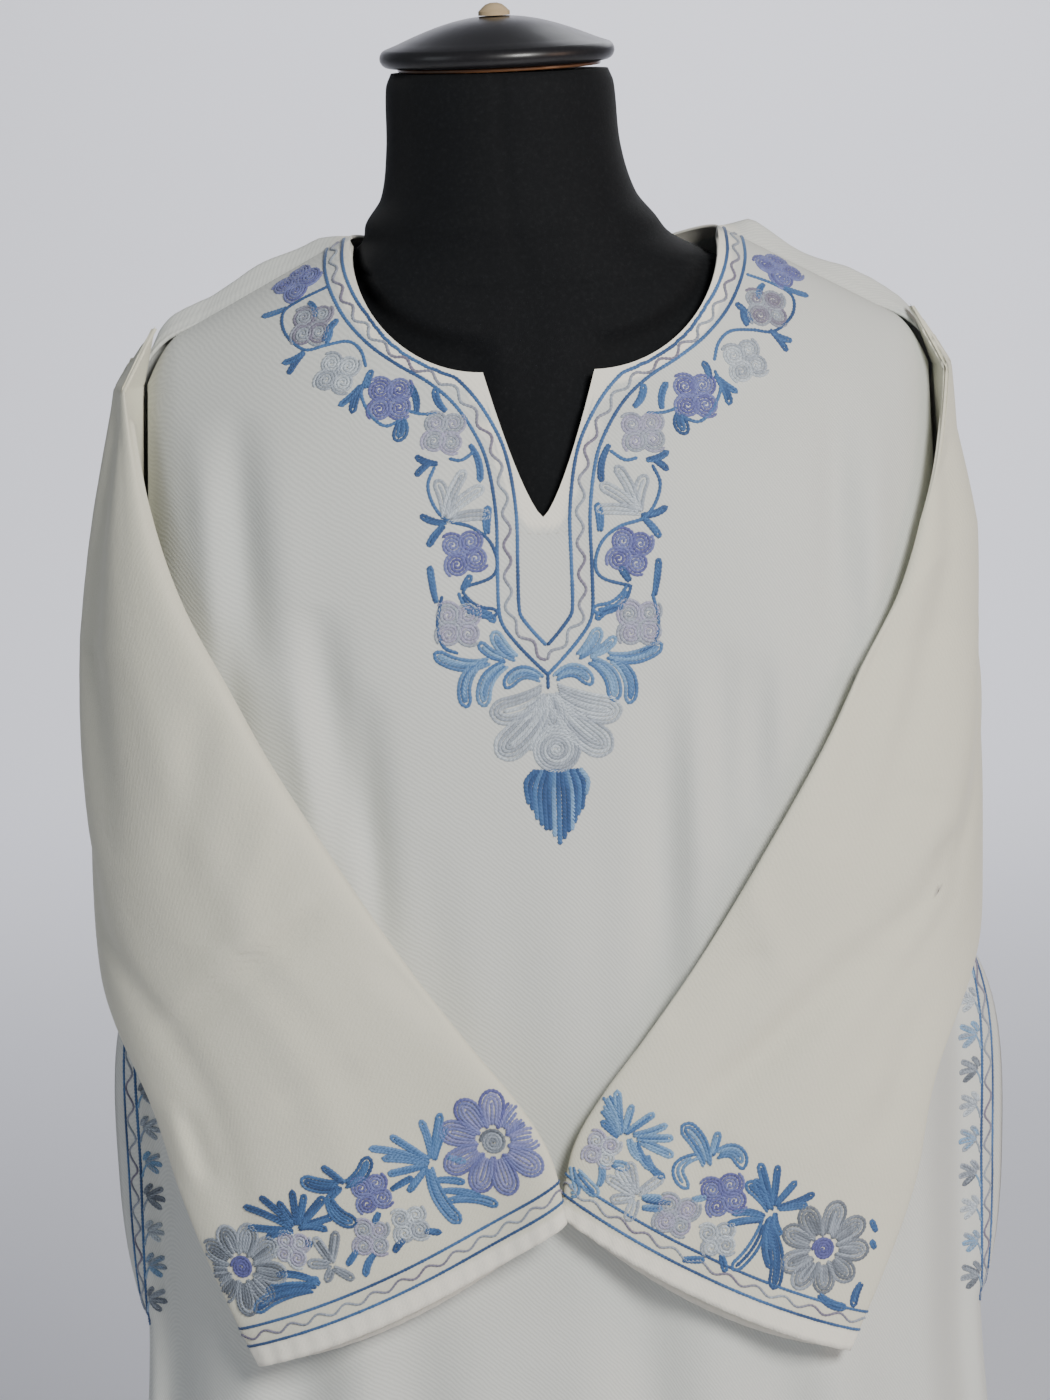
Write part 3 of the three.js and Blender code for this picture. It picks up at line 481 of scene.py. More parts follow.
def smudgeGroup():
    # two sizes of noise: cloudy handling marks and fine dust
    tree, come, go = nodeGroup("handledSurface", {"Place": None, "Marks": 0.3, "Dust": 0.2}, ("Roughen", "Dusting"))
    cloud = noise(tree, come.outputs["Place"], 22.0, 4.0, 0.6)
    speck = calc(tree, "POWER", noise(tree, come.outputs["Place"], 420.0, 2.0, 0.7), 4.0)
    tree.links.new(calc(tree, "MULTIPLY", cloud, come.outputs["Marks"]), go.inputs["Roughen"])
    dust = calc(tree, "ADD", speck, calc(tree, "MULTIPLY", cloud, 0.2))
    tree.links.new(calc(tree, "MULTIPLY", dust, come.outputs["Dust"]), go.inputs["Dusting"])
    return tree


twillWeave = twillGroup()
handledSurface = smudgeGroup()


def newMaterial(name):
    # a material with its tree, its shader and the object's own coordinates
    material = bpy.data.materials.new(name)
    material.use_nodes = True
    tree = material.node_tree
    shader = tree.nodes["Principled BSDF"]
    place = tree.nodes.new("ShaderNodeTexCoord")
    return material, tree, shader, place.outputs["Object"]


def surface(tree, shader, colour, roughness, **plain):
    # links what changes over the surface, and sets what is the same all over it on the shader's own sockets
    tree.links.new(colour, shader.inputs["Base Color"])
    tree.links.new(roughness, shader.inputs["Roughness"])
    for label, value in plain.items():
        shader.inputs[label.replace("_", " ")].default_value = value


def placeGroup(tree, group, **values):
    # one of the shared groups with this material's own values
    node = tree.nodes.new("ShaderNodeGroup")
    node.node_tree = group
    for label, value in values.items():
        socket = node.inputs[label.replace("_", " ")]
        if isinstance(value, bpy.types.NodeSocket):
            tree.links.new(value, socket)
        else:
            socket.default_value = value
    return node


def bumpFrom(tree, shader, height, distance, strength):
    # relief in metres from a height
    bump = tree.nodes.new("ShaderNodeBump")
    bump.inputs["Distance"].default_value = distance
    bump.inputs["Strength"].default_value = strength
    tree.links.new(height, bump.inputs["Height"])
    tree.links.new(bump.outputs[0], shader.inputs["Normal"])


def woolCloth(name, look):
    # cream wool: ribs with painted shade in their grooves, a cloudy tone and a soft sheen
    material, tree, shader, place = newMaterial(name)
    measure = tree.nodes.new("ShaderNodeUVMap")
    measure.uv_map = "clothMeasure"
    weave = placeGroup(tree, twillWeave, Measure=measure.outputs[0], Place=place, Rib_Pitch=look["pitch"],
                       Slant=look["slant"], Rib_Depth=look["ribs"], Nap=look["nap"])
    tone = blendColour(tree, "MIX", weave.outputs["Mottle"], look["cool"], look["warm"])
    # painted shade: the grooves between the ribs are darkened towards the groove colour
    ribs = blendColour(tree, "MIX", weave.outputs["Shade"], look["paintedGrooveShade"], (1, 1, 1, 1))
    colour = blendColour(tree, "MULTIPLY", 1.0, tone, ribs)
    margin = tree.nodes.new("ShaderNodeAttribute")
    margin.attribute_name = "pale"
    colour = blendColour(tree, "MIX", margin.outputs["Fac"], colour, look["margin"])
    roughness = calc(tree, "MULTIPLY_ADD", weave.outputs["Mottle"], 0.12, 0.8)
    surface(tree, shader, colour, roughness, Sheen_Weight=look["sheen"], Sheen_Roughness=0.5,
            Sheen_Tint=(1.0, 0.98, 0.94, 1.0), Specular_IOR_Level=0.25)
    bumpFrom(tree, shader, weave.outputs["Height"], 0.0006, look["relief"])
    return material


# the groove colour of each look is painted shade for the grooves between the ribs
woolLooks = {
    "body": {"pitch": 2.0, "slant": 0.8, "ribs": 0.8, "nap": 0.45, "sheen": 0.2, "relief": 0.35,
             "cool": (0.70, 0.725, 0.70, 1), "warm": (0.75, 0.76, 0.715, 1),
             "paintedGrooveShade": (0.875, 0.88, 0.885, 1), "margin": (0.93, 0.90, 0.80, 1)},
    "sleeve": {"pitch": 2.0, "slant": 0.8, "ribs": 0.4, "nap": 0.8, "sheen": 0.3, "relief": 0.45,
               "cool": (0.74, 0.725, 0.60, 1), "warm": (0.79, 0.77, 0.645, 1),
               "paintedGrooveShade": (0.95, 0.95, 0.945, 1), "margin": (0.90, 0.87, 0.77, 1)},
    "pocket": {"pitch": 1.2, "slant": 0.1, "ribs": 0.6, "nap": 0.3, "sheen": 0.1, "relief": 0.3,
               "cool": (0.70, 0.68, 0.60, 1), "warm": (0.74, 0.71, 0.62, 1),
               "paintedGrooveShade": (0.93, 0.93, 0.92, 1), "margin": (0.8, 0.77, 0.67, 1)},
}
bodyWool = woolCloth("creamTwill", woolLooks["body"])
sleeveWool = woolCloth("brushedTwill", woolLooks["sleeve"])
pocketCotton = woolCloth("pocketCotton", woolLooks["pocket"])


def threadMaterial():
    # worsted thread whose colour comes from each stitch, with fine strands and a soft sheen
    material, tree, shader, place = newMaterial("embroideryThread")
    stitch = tree.nodes.new("ShaderNodeAttribute")
    stitch.attribute_name = "thread"
    strands = noise(tree, place, 1600.0, 2.0)
    colour = blendColour(tree, "MULTIPLY", 1.0, stitch.outputs["Color"],
                         blendColour(tree, "MIX", strands, (0.86, 0.86, 0.86, 1), (1.06, 1.06, 1.06, 1)))
    surface(tree, shader, colour, calc(tree, "MULTIPLY_ADD", strands, 0.2, 0.55), Sheen_Weight=0.3,
            Specular_IOR_Level=0.35)
    bumpFrom(tree, shader, strands, 0.0003, 0.5)
    return material


thread = threadMaterial()


def blackCloth(name, look):
    # fine black jersey with lint caught in it
    material, tree, shader, place = newMaterial(name)
    fine = noise(tree, place, 1500.0, 2.0)
    marks = placeGroup(tree, handledSurface, Place=place, Marks=look["marks"], Dust=look["dust"])
    colour = blendColour(tree, "MIX", marks.outputs["Dusting"], look["clean"], look["dusty"])
    surface(tree, shader, colour, calc(tree, "ADD", marks.outputs["Roughen"], look["rough"]),
            Sheen_Weight=look["sheen"], Specular_IOR_Level=look["shine"])
    bumpFrom(tree, shader, fine, 0.0004, 0.5)
    return material


def glossFinish(name, look):
    # paint or lacquer whose gloss is broken by handling marks and dust
    material, tree, shader, place = newMaterial(name)
    marks = placeGroup(tree, handledSurface, Place=place, Marks=look["marks"], Dust=look["dust"])
    colour = blendColour(tree, "MIX", marks.outputs["Dusting"], look["clean"], look["dusty"])
    surface(tree, shader, colour, calc(tree, "ADD", marks.outputs["Roughen"], look["rough"]), Metallic=look["metal"],
            Coat_Weight=look["coat"], Coat_Roughness=0.12)
    bumpFrom(tree, shader, marks.outputs["Roughen"], 0.0006, 0.2)
    return material


def woodFinish(name, look):
    # grain: a noise stretched along one way of the wood
    material, tree, shader, place = newMaterial(name)
    stretch = tree.nodes.new("ShaderNodeMapping")
    stretch.inputs["Scale"].default_value = (30, 240, 90)
    tree.links.new(place, stretch.inputs["Vector"])
    grain = noise(tree, stretch.outputs[0], 1.0, 5.0, 0.65)
    colour = blendColour(tree, "MIX", grain, look["dark"], look["pale"])
    surface(tree, shader, colour, calc(tree, "MULTIPLY_ADD", grain, 0.2, look["rough"]), Coat_Weight=look["coat"])
    bumpFrom(tree, shader, grain, 0.0005, 0.4)
    return material


formLooks = {
    "jersey": {"clean": (0.003, 0.0036, 0.0048, 1), "dusty": (0.035, 0.037, 0.04, 1), "rough": 0.68, "sheen": 0.05,
               "shine": 0.14, "marks": 0.2, "dust": 0.5},
    "lacquer": {"clean": (0.006, 0.0055, 0.007, 1), "dusty": (0.05, 0.049, 0.053, 1), "rough": 0.24, "metal": 0.0,
                "coat": 0.12, "marks": 0.22, "dust": 0.5},
    "steel": {"clean": (0.014, 0.014, 0.016, 1), "dusty": (0.06, 0.06, 0.062, 1), "rough": 0.34, "metal": 0.2,
              "coat": 0.2, "marks": 0.22, "dust": 0.5},
    "varnished": {"pale": (0.30, 0.13, 0.045, 1), "dark": (0.13, 0.05, 0.02, 1), "rough": 0.22, "coat": 0.7},
    "rawWood": {"pale": (0.60, 0.47, 0.30, 1), "dark": (0.40, 0.29, 0.16, 1), "rough": 0.7, "coat": 0.0},
}
jersey = blackCloth("blackJersey", formLooks["jersey"])
lacquer = glossFinish("blackLacquer", formLooks["lacquer"])
steel = glossFinish("paintedSteel", formLooks["steel"])
varnished = woodFinish("varnishedWood", formLooks["varnished"])
rawWood = woodFinish("rawWood", formLooks["rawWood"])
print("materials made")


# front and back panels
panels = {
    "front": {"columns": (10, 24, 58), "rows": 236},
    "back": {"columns": (0, 26, 50), "rows": 170},
}
facing = {"width": 11.0, "fade": 2.0, "rows": 90}


def makePanel(face, name, node):
    # the panel's grid as a shell whose edges at the seams stay in the seam's plane
    look = panels[face]
    grid, flat = panelGrid(face, look["columns"], look["rows"])
    shoulderColumn = look["columns"][2]

    def flatten(normal):
        normal[0, :shoulderColumn + 1, 1] = 0
        normal[0, -shoulderColumn - 1:, 1] = 0
        normal[:, 0, 1] = 0
        normal[:, -1, 1] = 0
    # the facing shows paler along the neck's edge
    k = shoulderColumn + 1
    edge = grid[0, k:-k:2]
    near = np.min(np.linalg.norm(grid[:facing["rows"], :, None] - edge, axis=-1), axis=-1)
    pale = np.zeros(grid.shape[:2])
    pale[:facing["rows"]] = np.clip((facing["width"] - near) / facing["fade"], 0, 1)
    piece = clothShell(name, grid, flat, bodyWool, flip=face == "back", flatten=flatten, pale=pale)
    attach(piece, "root")
    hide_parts(node)
    return piece


frontCloth = makePanel("front", "frontCloth", "front_panel")
backCloth = makePanel("back", "backCloth", "back_panel")
print("panels made")


# sleeves: place along the sleeve, then inner fold x and z, outer fold x, past, z, crown, under, thickness, lift
sleeveTable = np.array([
    (1, 222, -104, 224, 16, -104, -53, -332, 10, -1), (2, 211, -150, 226, 38, -148, -98, -336, 13, 0),
    (3, 192, -200, 228, 60, -206, -164, -341, 21, 0), (4, 169, -244, 230, 70, -262, -228, -347, 25, 0),
    (5, 147, -288, 231, 64, -318, -291, -354, 27, 0), (6, 115, -344, 234, 38, -372, -350, -374, 25, 0),
    (7, 81, -400, 236, 8, -430, -410, -420, 21, 0), (8, 49, -445, 219, -2, -488, -463, -469, 19, 0),
    (9, 23, -479, 204, -2, -542, -508, -514, 18, 0), (10, 6, -509, 187, -2, -588, -550, -556, 18, 0),
    (11, -2, -547, 166, -2, -636, -599, -607, 19, 0)], float)
sleeveColumn = {"innerX": 1, "innerZ": 2, "outerX": 3, "past": 4, "outerZ": 5, "crown": 6, "under": 7,
                "thick": 8, "lift": 9}
sleeves = {
    "clear": 6.5, "thinnest": 6.0, "headTuck": 0.6, "margin": 12.0, "pucker": 0.4, "around": 176, "stations": 176,
    # folds: across at the start, across at the foot, from, to, width, depth
    # creases: x and z at one end, x and z at the other, width, depth
    "left": {"side": 1, "spread": -8, "drawnIn": 16, "fuller": -13, "slimHead": 9, "innerLift": 0,
             "folds": [(0.35, 0.6, 1.5, 9, 0.1, 4.5), (0.2, 0.3, 2, 7, 0.07, -4), (0.7, 0.2, 4.5, 10, 0.08, -4.5),
                       (0.5, 0.72, 2, 8, 0.05, -1.8), (0.12, 0.5, 6, 11.5, 0.06, -1.6), (0.8, 0.5, 3, 7, 0.05, 1.5)],
             "creases": [
                 (228, -340, 190, -406, 11, -4.5), (190, -406, 84, -482, 11, -4.5), (224, -330, 196, -392, 9, 2.5),
                 (193, -205, 157, -350, 12, -4), (120, -398, 60, -440, 9, -2), (150, -520, 185, -470, 10, 2.2),
                 (96, -330, 130, -420, 10, 1.6), (205, -440, 180, -520, 9, -2.5)]},
    "right": {"side": -1, "spread": 6, "drawnIn": 6, "fuller": 5, "slimHead": 0, "innerLift": 13,
              "folds": [(0.3, 0.52, 1.5, 6, 0.07, -4.5), (0.42, 0.66, 1.5, 6.5, 0.07, 3.5),
                        (0.52, 0.8, 2, 7, 0.06, -4), (0.7, 0.9, 5.5, 11, 0.06, -3.0), (0.2, 0.3, 3, 8, 0.06, 1.6),
                        (0.4, 0.55, 6, 10.5, 0.07, 1.8)],
              "creases": [
                  (-130, -366, -222, -443, 6, -3.2), (-134, -354, -226, -430, 8, 2.2),
                  (-212, -487, -198, -530, 7, -3), (-222, -484, -210, -530, 6, 2), (-190, -250, -210, -350, 12, -3),
                  (-150, -300, -185, -400, 11, 1.8), (-100, -395, -62, -430, 9, -1.8),
                  (-110, -455, -160, -480, 9, -1.8)]},
}


def sectionPoint(angle, half, front, back):
    # the squared ellipse that the body's section is, at an angle from the middle of the front
    power = 2 / garment["squareness"]
    depth = np.where(np.cos(angle) > 0, -front, back)
    return half * signedPower(np.sin(angle), power), depth * np.abs(np.cos(angle)) ** power


def creasePush(creases, x, z):
    # each crease is a bell about a straight stroke, fading at both of its ends
    push = np.zeros(np.shape(x))
    for x0, z0, x1, z1, width, depth in creases:
        wayX, wayZ = x1 - x0, z1 - z0
        share = np.clip(((x - x0) * wayX + (z - z0) * wayZ) / (wayX**2 + wayZ**2), 0, 1)
        off = np.hypot(x - x0 - share * wayX, z - z0 - share * wayZ) / width
        push += depth * np.exp(-off * off) * (1 - (2 * share - 1) ** 4 * 0.8)
    return push


def roundingAt(z):
    # how far the front has turned from the shoulder at the middle of the sleeve's head
    turn = np.clip((-28 - z) / garment["round"]["front"], 0.05, 1)
    return np.sqrt(1 - (1 - turn) ** 2)


def arcAtX(x, z, half, front):
    # length of the section from the middle of the front out to x, as the sum of 48 chords
    end = np.arcsin(np.clip(np.abs(x) / half, 0, 1) ** (garment["squareness"] / 2))
    angle = end[..., None] * np.linspace(0, 1, 49)
    px, py = sectionPoint(angle, half[..., None], (front * roundingAt(z))[..., None], 1.0)
    length = np.hypot(np.diff(px, axis=-1), np.diff(py, axis=-1)).sum(axis=-1)
    return length * np.where(x < 0, -1.0, 1.0)


def wrapPoint(arc, z, h):
    # walks the section in 120 steps to the wanted length, and goes h outwards from there
    half, front, back = bodySize("half", z), bodySize("front", z), bodySize("back", z)
    steps = np.arange(-1, 122) * np.pi / 120
    px, py = sectionPoint(steps, half[:, None], (front * roundingAt(z))[:, None], (back * roundingAt(z))[:, None])
    tx, ty = px[:, 2:] - px[:, :-2], py[:, 2:] - py[:, :-2]
    long = np.maximum(np.hypot(tx, ty), 1e-9)
    nx, ny = ty / long, -tx / long
    px, py = px[:, 1:-1], py[:, 1:-1]
    run = rowLengths(px, py)
    rows, i, share = stepInto(run, np.minimum(np.abs(arc), run[:, -3]))

    def at(values):
        return mix(values[rows, i], values[rows, i + 1], share)
    sign = np.where(arc < 0, -1.0, 1.0)
    return np.stack([sign * (at(px) + at(nx) * h), at(py) + at(ny) * h, z], axis=-1)


def sleevePlace(sleeve, t, turn):
    # share runs from the inner fold to the outer one; layers bow apart as a power of the sine of the turn
    late = np.maximum(1, t)
    row = {key: smoothColumn(sleeveTable, column, late) for key, column in sleeveColumn.items()}
    share = (1 - np.cos(turn)) / 2
    over = np.sin(turn) >= 0
    bow = np.sin(turn) ** 2
    middle = (row["innerZ"] + row["outerZ"]) / 2
    z = mix(row["innerZ"], row["outerZ"], share) + (np.where(over, row["crown"], row["under"]) - middle) * bow
    half, front = bodySize("half", z), bodySize("front", z)
    spread = sleeve["spread"] * np.clip((late - 2) / 3, 0, 1)
    drawn = sleeve["drawnIn"] * np.exp(-(((late - 6.4) / 1.7) ** 2))
    outer = arcAtX(np.minimum(row["outerX"], half), z, half, front) + row["past"] + spread - drawn
    layer = signedPower(np.sin(turn), 0.62)
    arm = np.clip((late - 2) / 2, 0, 1) - 0.8 * np.clip((late - 7) / 2, 0, 1)
    fuller = sleeve["fuller"] * arm - sleeve["slimHead"] * np.clip(3.2 - late, 0, 1)
    thick = np.maximum(sleeves["thinnest"], row["thick"] + fuller)
    h = sleeves["clear"] + row["lift"] + thick / 2 * (1 + layer)
    h += sleeve["innerLift"] * np.clip((late - 7) / 3, 0, 1) * np.exp(-((share / 0.16) ** 2))
    for across, acrossFoot, start, end, width, depth in sleeve["folds"]:
        along = np.clip((late - start) / (end - start), 0, 1)
        off = (share - mix(across, acrossFoot, along)) / width
        h += np.where(over, depth * np.sin(np.pi * along) * np.exp(-off * off), 0)
    arc = mix(arcAtX(row["innerX"], z, half, front), outer, share)
    # the first ring lies round the armhole
    top, bottom, gap = garment["armhole"]
    around = np.where(turn < np.pi, 0.67 * (1 - 2 * turn / np.pi),
                      -0.67 - (2 * np.pi - 1.34) * (turn - np.pi) / np.pi)
    z0 = (top + bottom) / 2 + ((top - bottom) / 2 + 1) * np.cos(around)
    half0 = bodySize("half", z0)
    arc0 = arcAtX(half0, z0, half0, bodySize("front", z0)) - (gap + 1) * np.sin(around)
    early = np.clip(t, 0, 1)
    return mix(arc0, arc, early), mix(z0, z, early), mix(2.2, h, early)


def sleevePoint(sleeve, t, turn):
    # the place wrapped round the body, drawn in above the armhole, with the creases pushed into the upper layer
    shape = np.broadcast(t, turn).shape
    t, turn = (np.broadcast_to(values, shape).ravel().astype(float) for values in (t, turn))
    arc, z, h = sleevePlace(sleeve, t, turn)
    point = wrapPoint(arc, z, h)
    point[:, 0] -= sleeves["headTuck"] * np.maximum(0, point[:, 2] - garment["armhole"][0])
    point[:, 0] *= sleeve["side"]
    upper = np.clip(np.sin(turn) * 3, 0, 1) * np.clip(t - 1, 0, 1)
    point[:, 1] -= creasePush(sleeve["creases"], point[:, 0], point[:, 2]) * upper
    return point.reshape(shape + (3,))


def makeSleeve(key, name, node):
    # the tube over stations along the sleeve and turns round it, as a shell
    sleeve = sleeves[key]
    t = np.linspace(0, 11, sleeves["stations"] + 1)[:, None]
    turn = (2 * np.pi * np.arange(sleeves["around"]) / sleeves["around"])[None, :]
    grid = sleevePoint(sleeve, t, turn)
    # measured along the sleeve and round it from the inner fold; each half mirrors the other, so it meets
    along = np.cumsum(np.linalg.norm(np.diff(grid, axis=0, prepend=grid[:1]), axis=-1), axis=0).mean(axis=1)
    ring = np.linalg.norm(np.roll(grid, -1, axis=1) - grid, axis=-1)
    run = np.cumsum(ring, axis=1) - ring
    run = np.minimum(run, ring.sum(axis=1, keepdims=True) - run)
    flat = np.stack([run, np.broadcast_to(along[:, None], run.shape)], axis=-1)

    def flatten(normal):
        normal[0, :, 0] = 0
    # the hem's margin is paler and puckers a little
    margin = np.clip((sleeves["margin"] - (along[-1] - along)) / 2, 0, 1)[:, None] * np.ones_like(run)
    grid += gridNormals(grid, True) * (sleeves["pucker"] * np.sin(run / 1.9) * margin)[:, :, None]
    piece = clothShell(name, grid, flat, sleeveWool, closed=True, flip=sleeve["side"] < 0, flatten=flatten,
                       pale=margin)
    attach(piece, "root")
    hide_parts(node)
    return piece


leftSleeve = makeSleeve("left", "leftSleeve", "sleeve_left")
rightSleeve = makeSleeve("right", "rightSleeve", "sleeve_right")
print("sleeves made")


# pocket bags
pocket = {
    # x, y, half height, thickness, from the mouth inwards
    "path": np.array([(0, 240, 0, 94, 11), (1, 228, -1, 97, 12), (2, 208, -14, 104, 12), (3, 188, -38, 108, 11),
                      (4, 169, -60, 102, 9), (5, 158, -73, 90, 6)], float),
    "wall": 1.5, "sag": 26.0, "around": 72, "stations": 34,
}


def makePocket(side, name, node):
    # flattened rings along the bag's path; the inner rings run out to the mouth and the outer ones back
    last = len(pocket["path"]) - 1
    turn = (2 * np.pi * np.arange(pocket["around"]) / pocket["around"])[None, :]
    flatWay, tallWay = signedPower(np.sin(turn), 0.7), signedPower(np.cos(turn), 0.7)

    def rings(t, inset):
        def at(column, place):
            return smoothColumn(pocket["path"], column, place)
        t = t[:, None]
        aheadX, aheadY = at(1, t + 0.05) - at(1, t - 0.05), at(2, t + 0.05) - at(2, t - 0.05)
        long = np.hypot(aheadX, aheadY)
        half = at(4, t) / 2 - inset + 0.4 * np.sin(5 * t + 3 * turn)
        z = sum(garment["pocketMouth"][:2]) / 2 - pocket["sag"] * t / last + (at(3, t) - inset) * tallWay
        x = at(1, t) - aheadY / long * half * flatWay
        y = at(2, t) + aheadX / long * half * flatWay
        return np.stack([side * x, y, z], axis=-1)
    places = 0.05 + (last - 0.1) * np.linspace(0, 1, pocket["stations"] + 1)
    grid = np.concatenate([rings(places[:-1][::-1], pocket["wall"]), rings(places, 0.0)])
    quads, ends = tubeFaces(*grid.shape[:2])
    points = np.concatenate([grid.reshape(-1, 3), grid[0].mean(axis=0)[None], grid[-1].mean(axis=0)[None]])
    flat = np.stack([points[:, 0] + points[:, 1], points[:, 2]], axis=-1)
    if side > 0:
        quads, ends = quads[:, ::-1], ends[:, ::-1]
    piece = newPiece(name, points, quads, pocketCotton, triangles=ends, flat=flat)
    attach(piece, "root")
    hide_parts(node)
    return piece


leftPocket = makePocket(1, "leftPocketBag", "pocket_bag_left")
rightPocket = makePocket(-1, "rightPocketBag", "pocket_bag_right")
print("pocket bags made")


# chain stitch
threads = {
    "blue": (0.078, 0.185, 0.415), "deep": (0.040, 0.095, 0.245), "sky": (0.235, 0.415, 0.660),
    "cornflower": (0.195, 0.225, 0.50), "violet": (0.125, 0.135, 0.375), "lavender": (0.27, 0.285, 0.56),
    "lilac": (0.42, 0.41, 0.58), "silver": (0.38, 0.43, 0.51), "pale": (0.60, 0.67, 0.74),
    "slate": (0.17, 0.195, 0.24), "mauve": (0.24, 0.22, 0.31), "mid": (0.130, 0.270, 0.540),
}
stitching = {"width": 2.7, "lobeWidth": 2.35, "pitch": 2.15, "height": 0.95, "rowGap": 2.1, "coilGap": 1.85,
             "narrow": 0.8, "end": 0.6, "uneven": 0.05, "unevenHeight": 0.06, "unevenDye": 0.07}
blueThread, waveThread, paleThread = ("blue", "deep"), ("mauve", "silver"), ("pale", "silver")
stitches = []  # each entry: 3-D points, normals, thread pair, width
dice = np.random.default_rng(7)


def evenly(points, step):
    # the same path with its points one step apart, by length along it
    run = pathLengths(points)
    count = max(2, int(round(run[-1] / step)) + 1)
    at = np.linspace(0, run[-1], count)
    return np.stack([np.interp(at, run, points[:, k]) for k in range(points.shape[1])], axis=1)


def throughPoints(points, each=12):
    # a Catmull-Rom curve through the given points
    p = np.asarray(points, float)
    p = np.concatenate([[2 * p[0] - p[1]], p, [2 * p[-1] - p[-2]]])
    t = (np.arange(each) / each)[None, :, None]
    a, b, c, d = (p[k:len(p) - 3 + k][:, None, :] for k in range(4))
    curve = 0.5 * (2 * b + (c - a) * t + (2 * a - 5 * b + 4 * c - d) * t**2 + (3 * b - a - 3 * c + d) * t**3)
    return np.concatenate([curve.reshape(-1, p.shape[1]), p[-2:-1]])


def frontSurface(x, w):
    # w turns from the shoulder line (0) to upright cloth (a quarter turn) and then runs straight down; below 0
    # it goes the same way behind
    g = garment
    size = np.where(w < 0, g["round"]["back"], g["round"]["front"])
    turned = np.minimum(np.abs(w), np.pi / 2)
    z = shoulderLine(x) - size * (1 - np.cos(turned)) - size * np.maximum(0, np.abs(w) - np.pi / 2)
    out = np.where(w < 0, -clothOut("back", x, z), clothOut("front", x, z))
    return np.stack([x, -out, z], axis=-1)


def settleOnBody(points):
    # brings points near the body cloth onto it, with the normal there
    g = garment
    x, y, z = points[:, 0], points[:, 1], points[:, 2]
    behind = y > 0
    size = np.where(behind, g["round"]["back"], g["round"]["front"])
    level = np.minimum(z, shoulderLine(x))
    full = np.where(behind, bodySize("back", level), bodySize("front", level))
    share = np.clip(np.abs(x) / bodySize("half", level), 0, 0.97)
    full = full * (1 - share ** g["squareness"]) ** (1 / g["squareness"])
    drop = 1 - (shoulderLine(x) - z) / size
    w = np.where(drop > 0, np.arctan2(np.abs(y) / full, drop), np.pi / 2 - drop)
    w = np.where(behind, -w, w)
    down = frontSurface(x, w + 0.01) - frontSurface(x, w - 0.01)
    across = frontSurface(x + 0.5, w) - frontSurface(x - 0.5, w)
    normal = unit(np.cross(down, across))
    place = frontSurface(x, w)
    edge = np.where(behind, neckline("back", x), neckline("front", x))
    return place, normal, (np.abs(x) > g["neckHalf"]) | (place[:, 2] < edge - 1.2)


cuffLattice = {"x": (-12, 214), "z": (-670, -430), "step": 4.0, "nudge": 0.02}


def cuffChart(sleeve):
    # a lattice in x and z over the cuff's outer layer, whose depth is found by Newton's method on (t, turn)
    step, nudge = cuffLattice["step"], cuffLattice["nudge"]
    x, z = np.meshgrid(np.arange(*cuffLattice["x"], step), np.arange(*cuffLattice["z"], step), indexing="ij")
    t, turn = np.full(x.size, 9.5), np.full(x.size, np.pi / 2)
    wanted = np.stack([x.ravel() * sleeve["side"], z.ravel()], axis=-1)
    for _ in range(14):
        here = sleevePoint(sleeve, t, turn)
        byT = (sleevePoint(sleeve, t + nudge, turn) - here) / nudge
        byTurn = (sleevePoint(sleeve, t, turn + nudge) - here) / nudge
        miss = wanted - here[:, ::2]
        det = byT[:, 0] * byTurn[:, 2] - byT[:, 2] * byTurn[:, 0]
        det = np.where(np.abs(det) < 1e-3, 1e-3, det)
        moveT = np.clip((miss[:, 0] * byTurn[:, 2] - miss[:, 1] * byTurn[:, 0]) / det, -0.6, 0.6)
        moveTurn = np.clip((byT[:, 0] * miss[:, 1] - byT[:, 2] * miss[:, 0]) / det, -0.4, 0.4)
        t, turn = np.clip(t + moveT, 6.0, 11.0), np.clip(turn + moveTurn, 0.12, np.pi - 0.12)
    here = sleevePoint(sleeve, t, turn)
    good = np.hypot(*(wanted - here[:, ::2]).T) < 1.0
    return here[:, 1].reshape(x.shape), good.reshape(x.shape).astype(float)


def settleOnCuff(sleeve, chart):
    # reads depth and normal between the four nearest places of the lattice
    depth, good = chart
    step = cuffLattice["step"]

    def settle(points):
        u = np.clip((points[:, 0] * sleeve["side"] - cuffLattice["x"][0]) / step, 0, depth.shape[0] - 1.001)
        v = np.clip((points[:, 2] - cuffLattice["z"][0]) / step, 0, depth.shape[1] - 1.001)
        i, j = u.astype(int), v.astype(int)
        a, b = u - i, v - j

        def read(values):
            return (values[i, j] * (1 - a) * (1 - b) + values[i + 1, j] * a * (1 - b)
                    + values[i, j + 1] * (1 - a) * b + values[i + 1, j + 1] * a * b)
        slopeX, slopeZ = np.gradient(depth, step)
        normal = unit(np.stack([read(slopeX) * sleeve["side"], -np.ones(len(points)), read(slopeZ)], axis=-1))
        return np.stack([points[:, 0], read(depth), points[:, 2]], axis=-1), normal, read(good) > 0.98
    return settle


def sew(points, settle, pair, width=None):
    # lays a chain along points near the cloth; the chain breaks where the cloth ends
    points = evenly(np.asarray(points, float), stitching["pitch"] / 2)
    place, normal, good = settle(points)
    edges = np.flatnonzero(np.diff(np.concatenate([[0], good.astype(int), [0]])))
    for start, end in zip(edges[::2], edges[1::2]):
        if end - start > 3:
            stitches.append((place[start:end], normal[start:end], pair, width or stitching["width"]))


def layChain(place, normal, pair, width):
    # a chain along places whose normals are known
    both = evenly(np.concatenate([place, normal], axis=1), stitching["pitch"] / 2)
    stitches.append((both[:, :3], both[:, 3:], pair, width))


def onFront(flat):
    # places on the front cloth at the given x and z, held below the shoulder line
    x = flat[:, 0]
    z = np.minimum(flat[:, 1], shoulderLine(x) - 0.7)
    return np.stack([x, -clothOut("front", x, z), z], axis=-1)


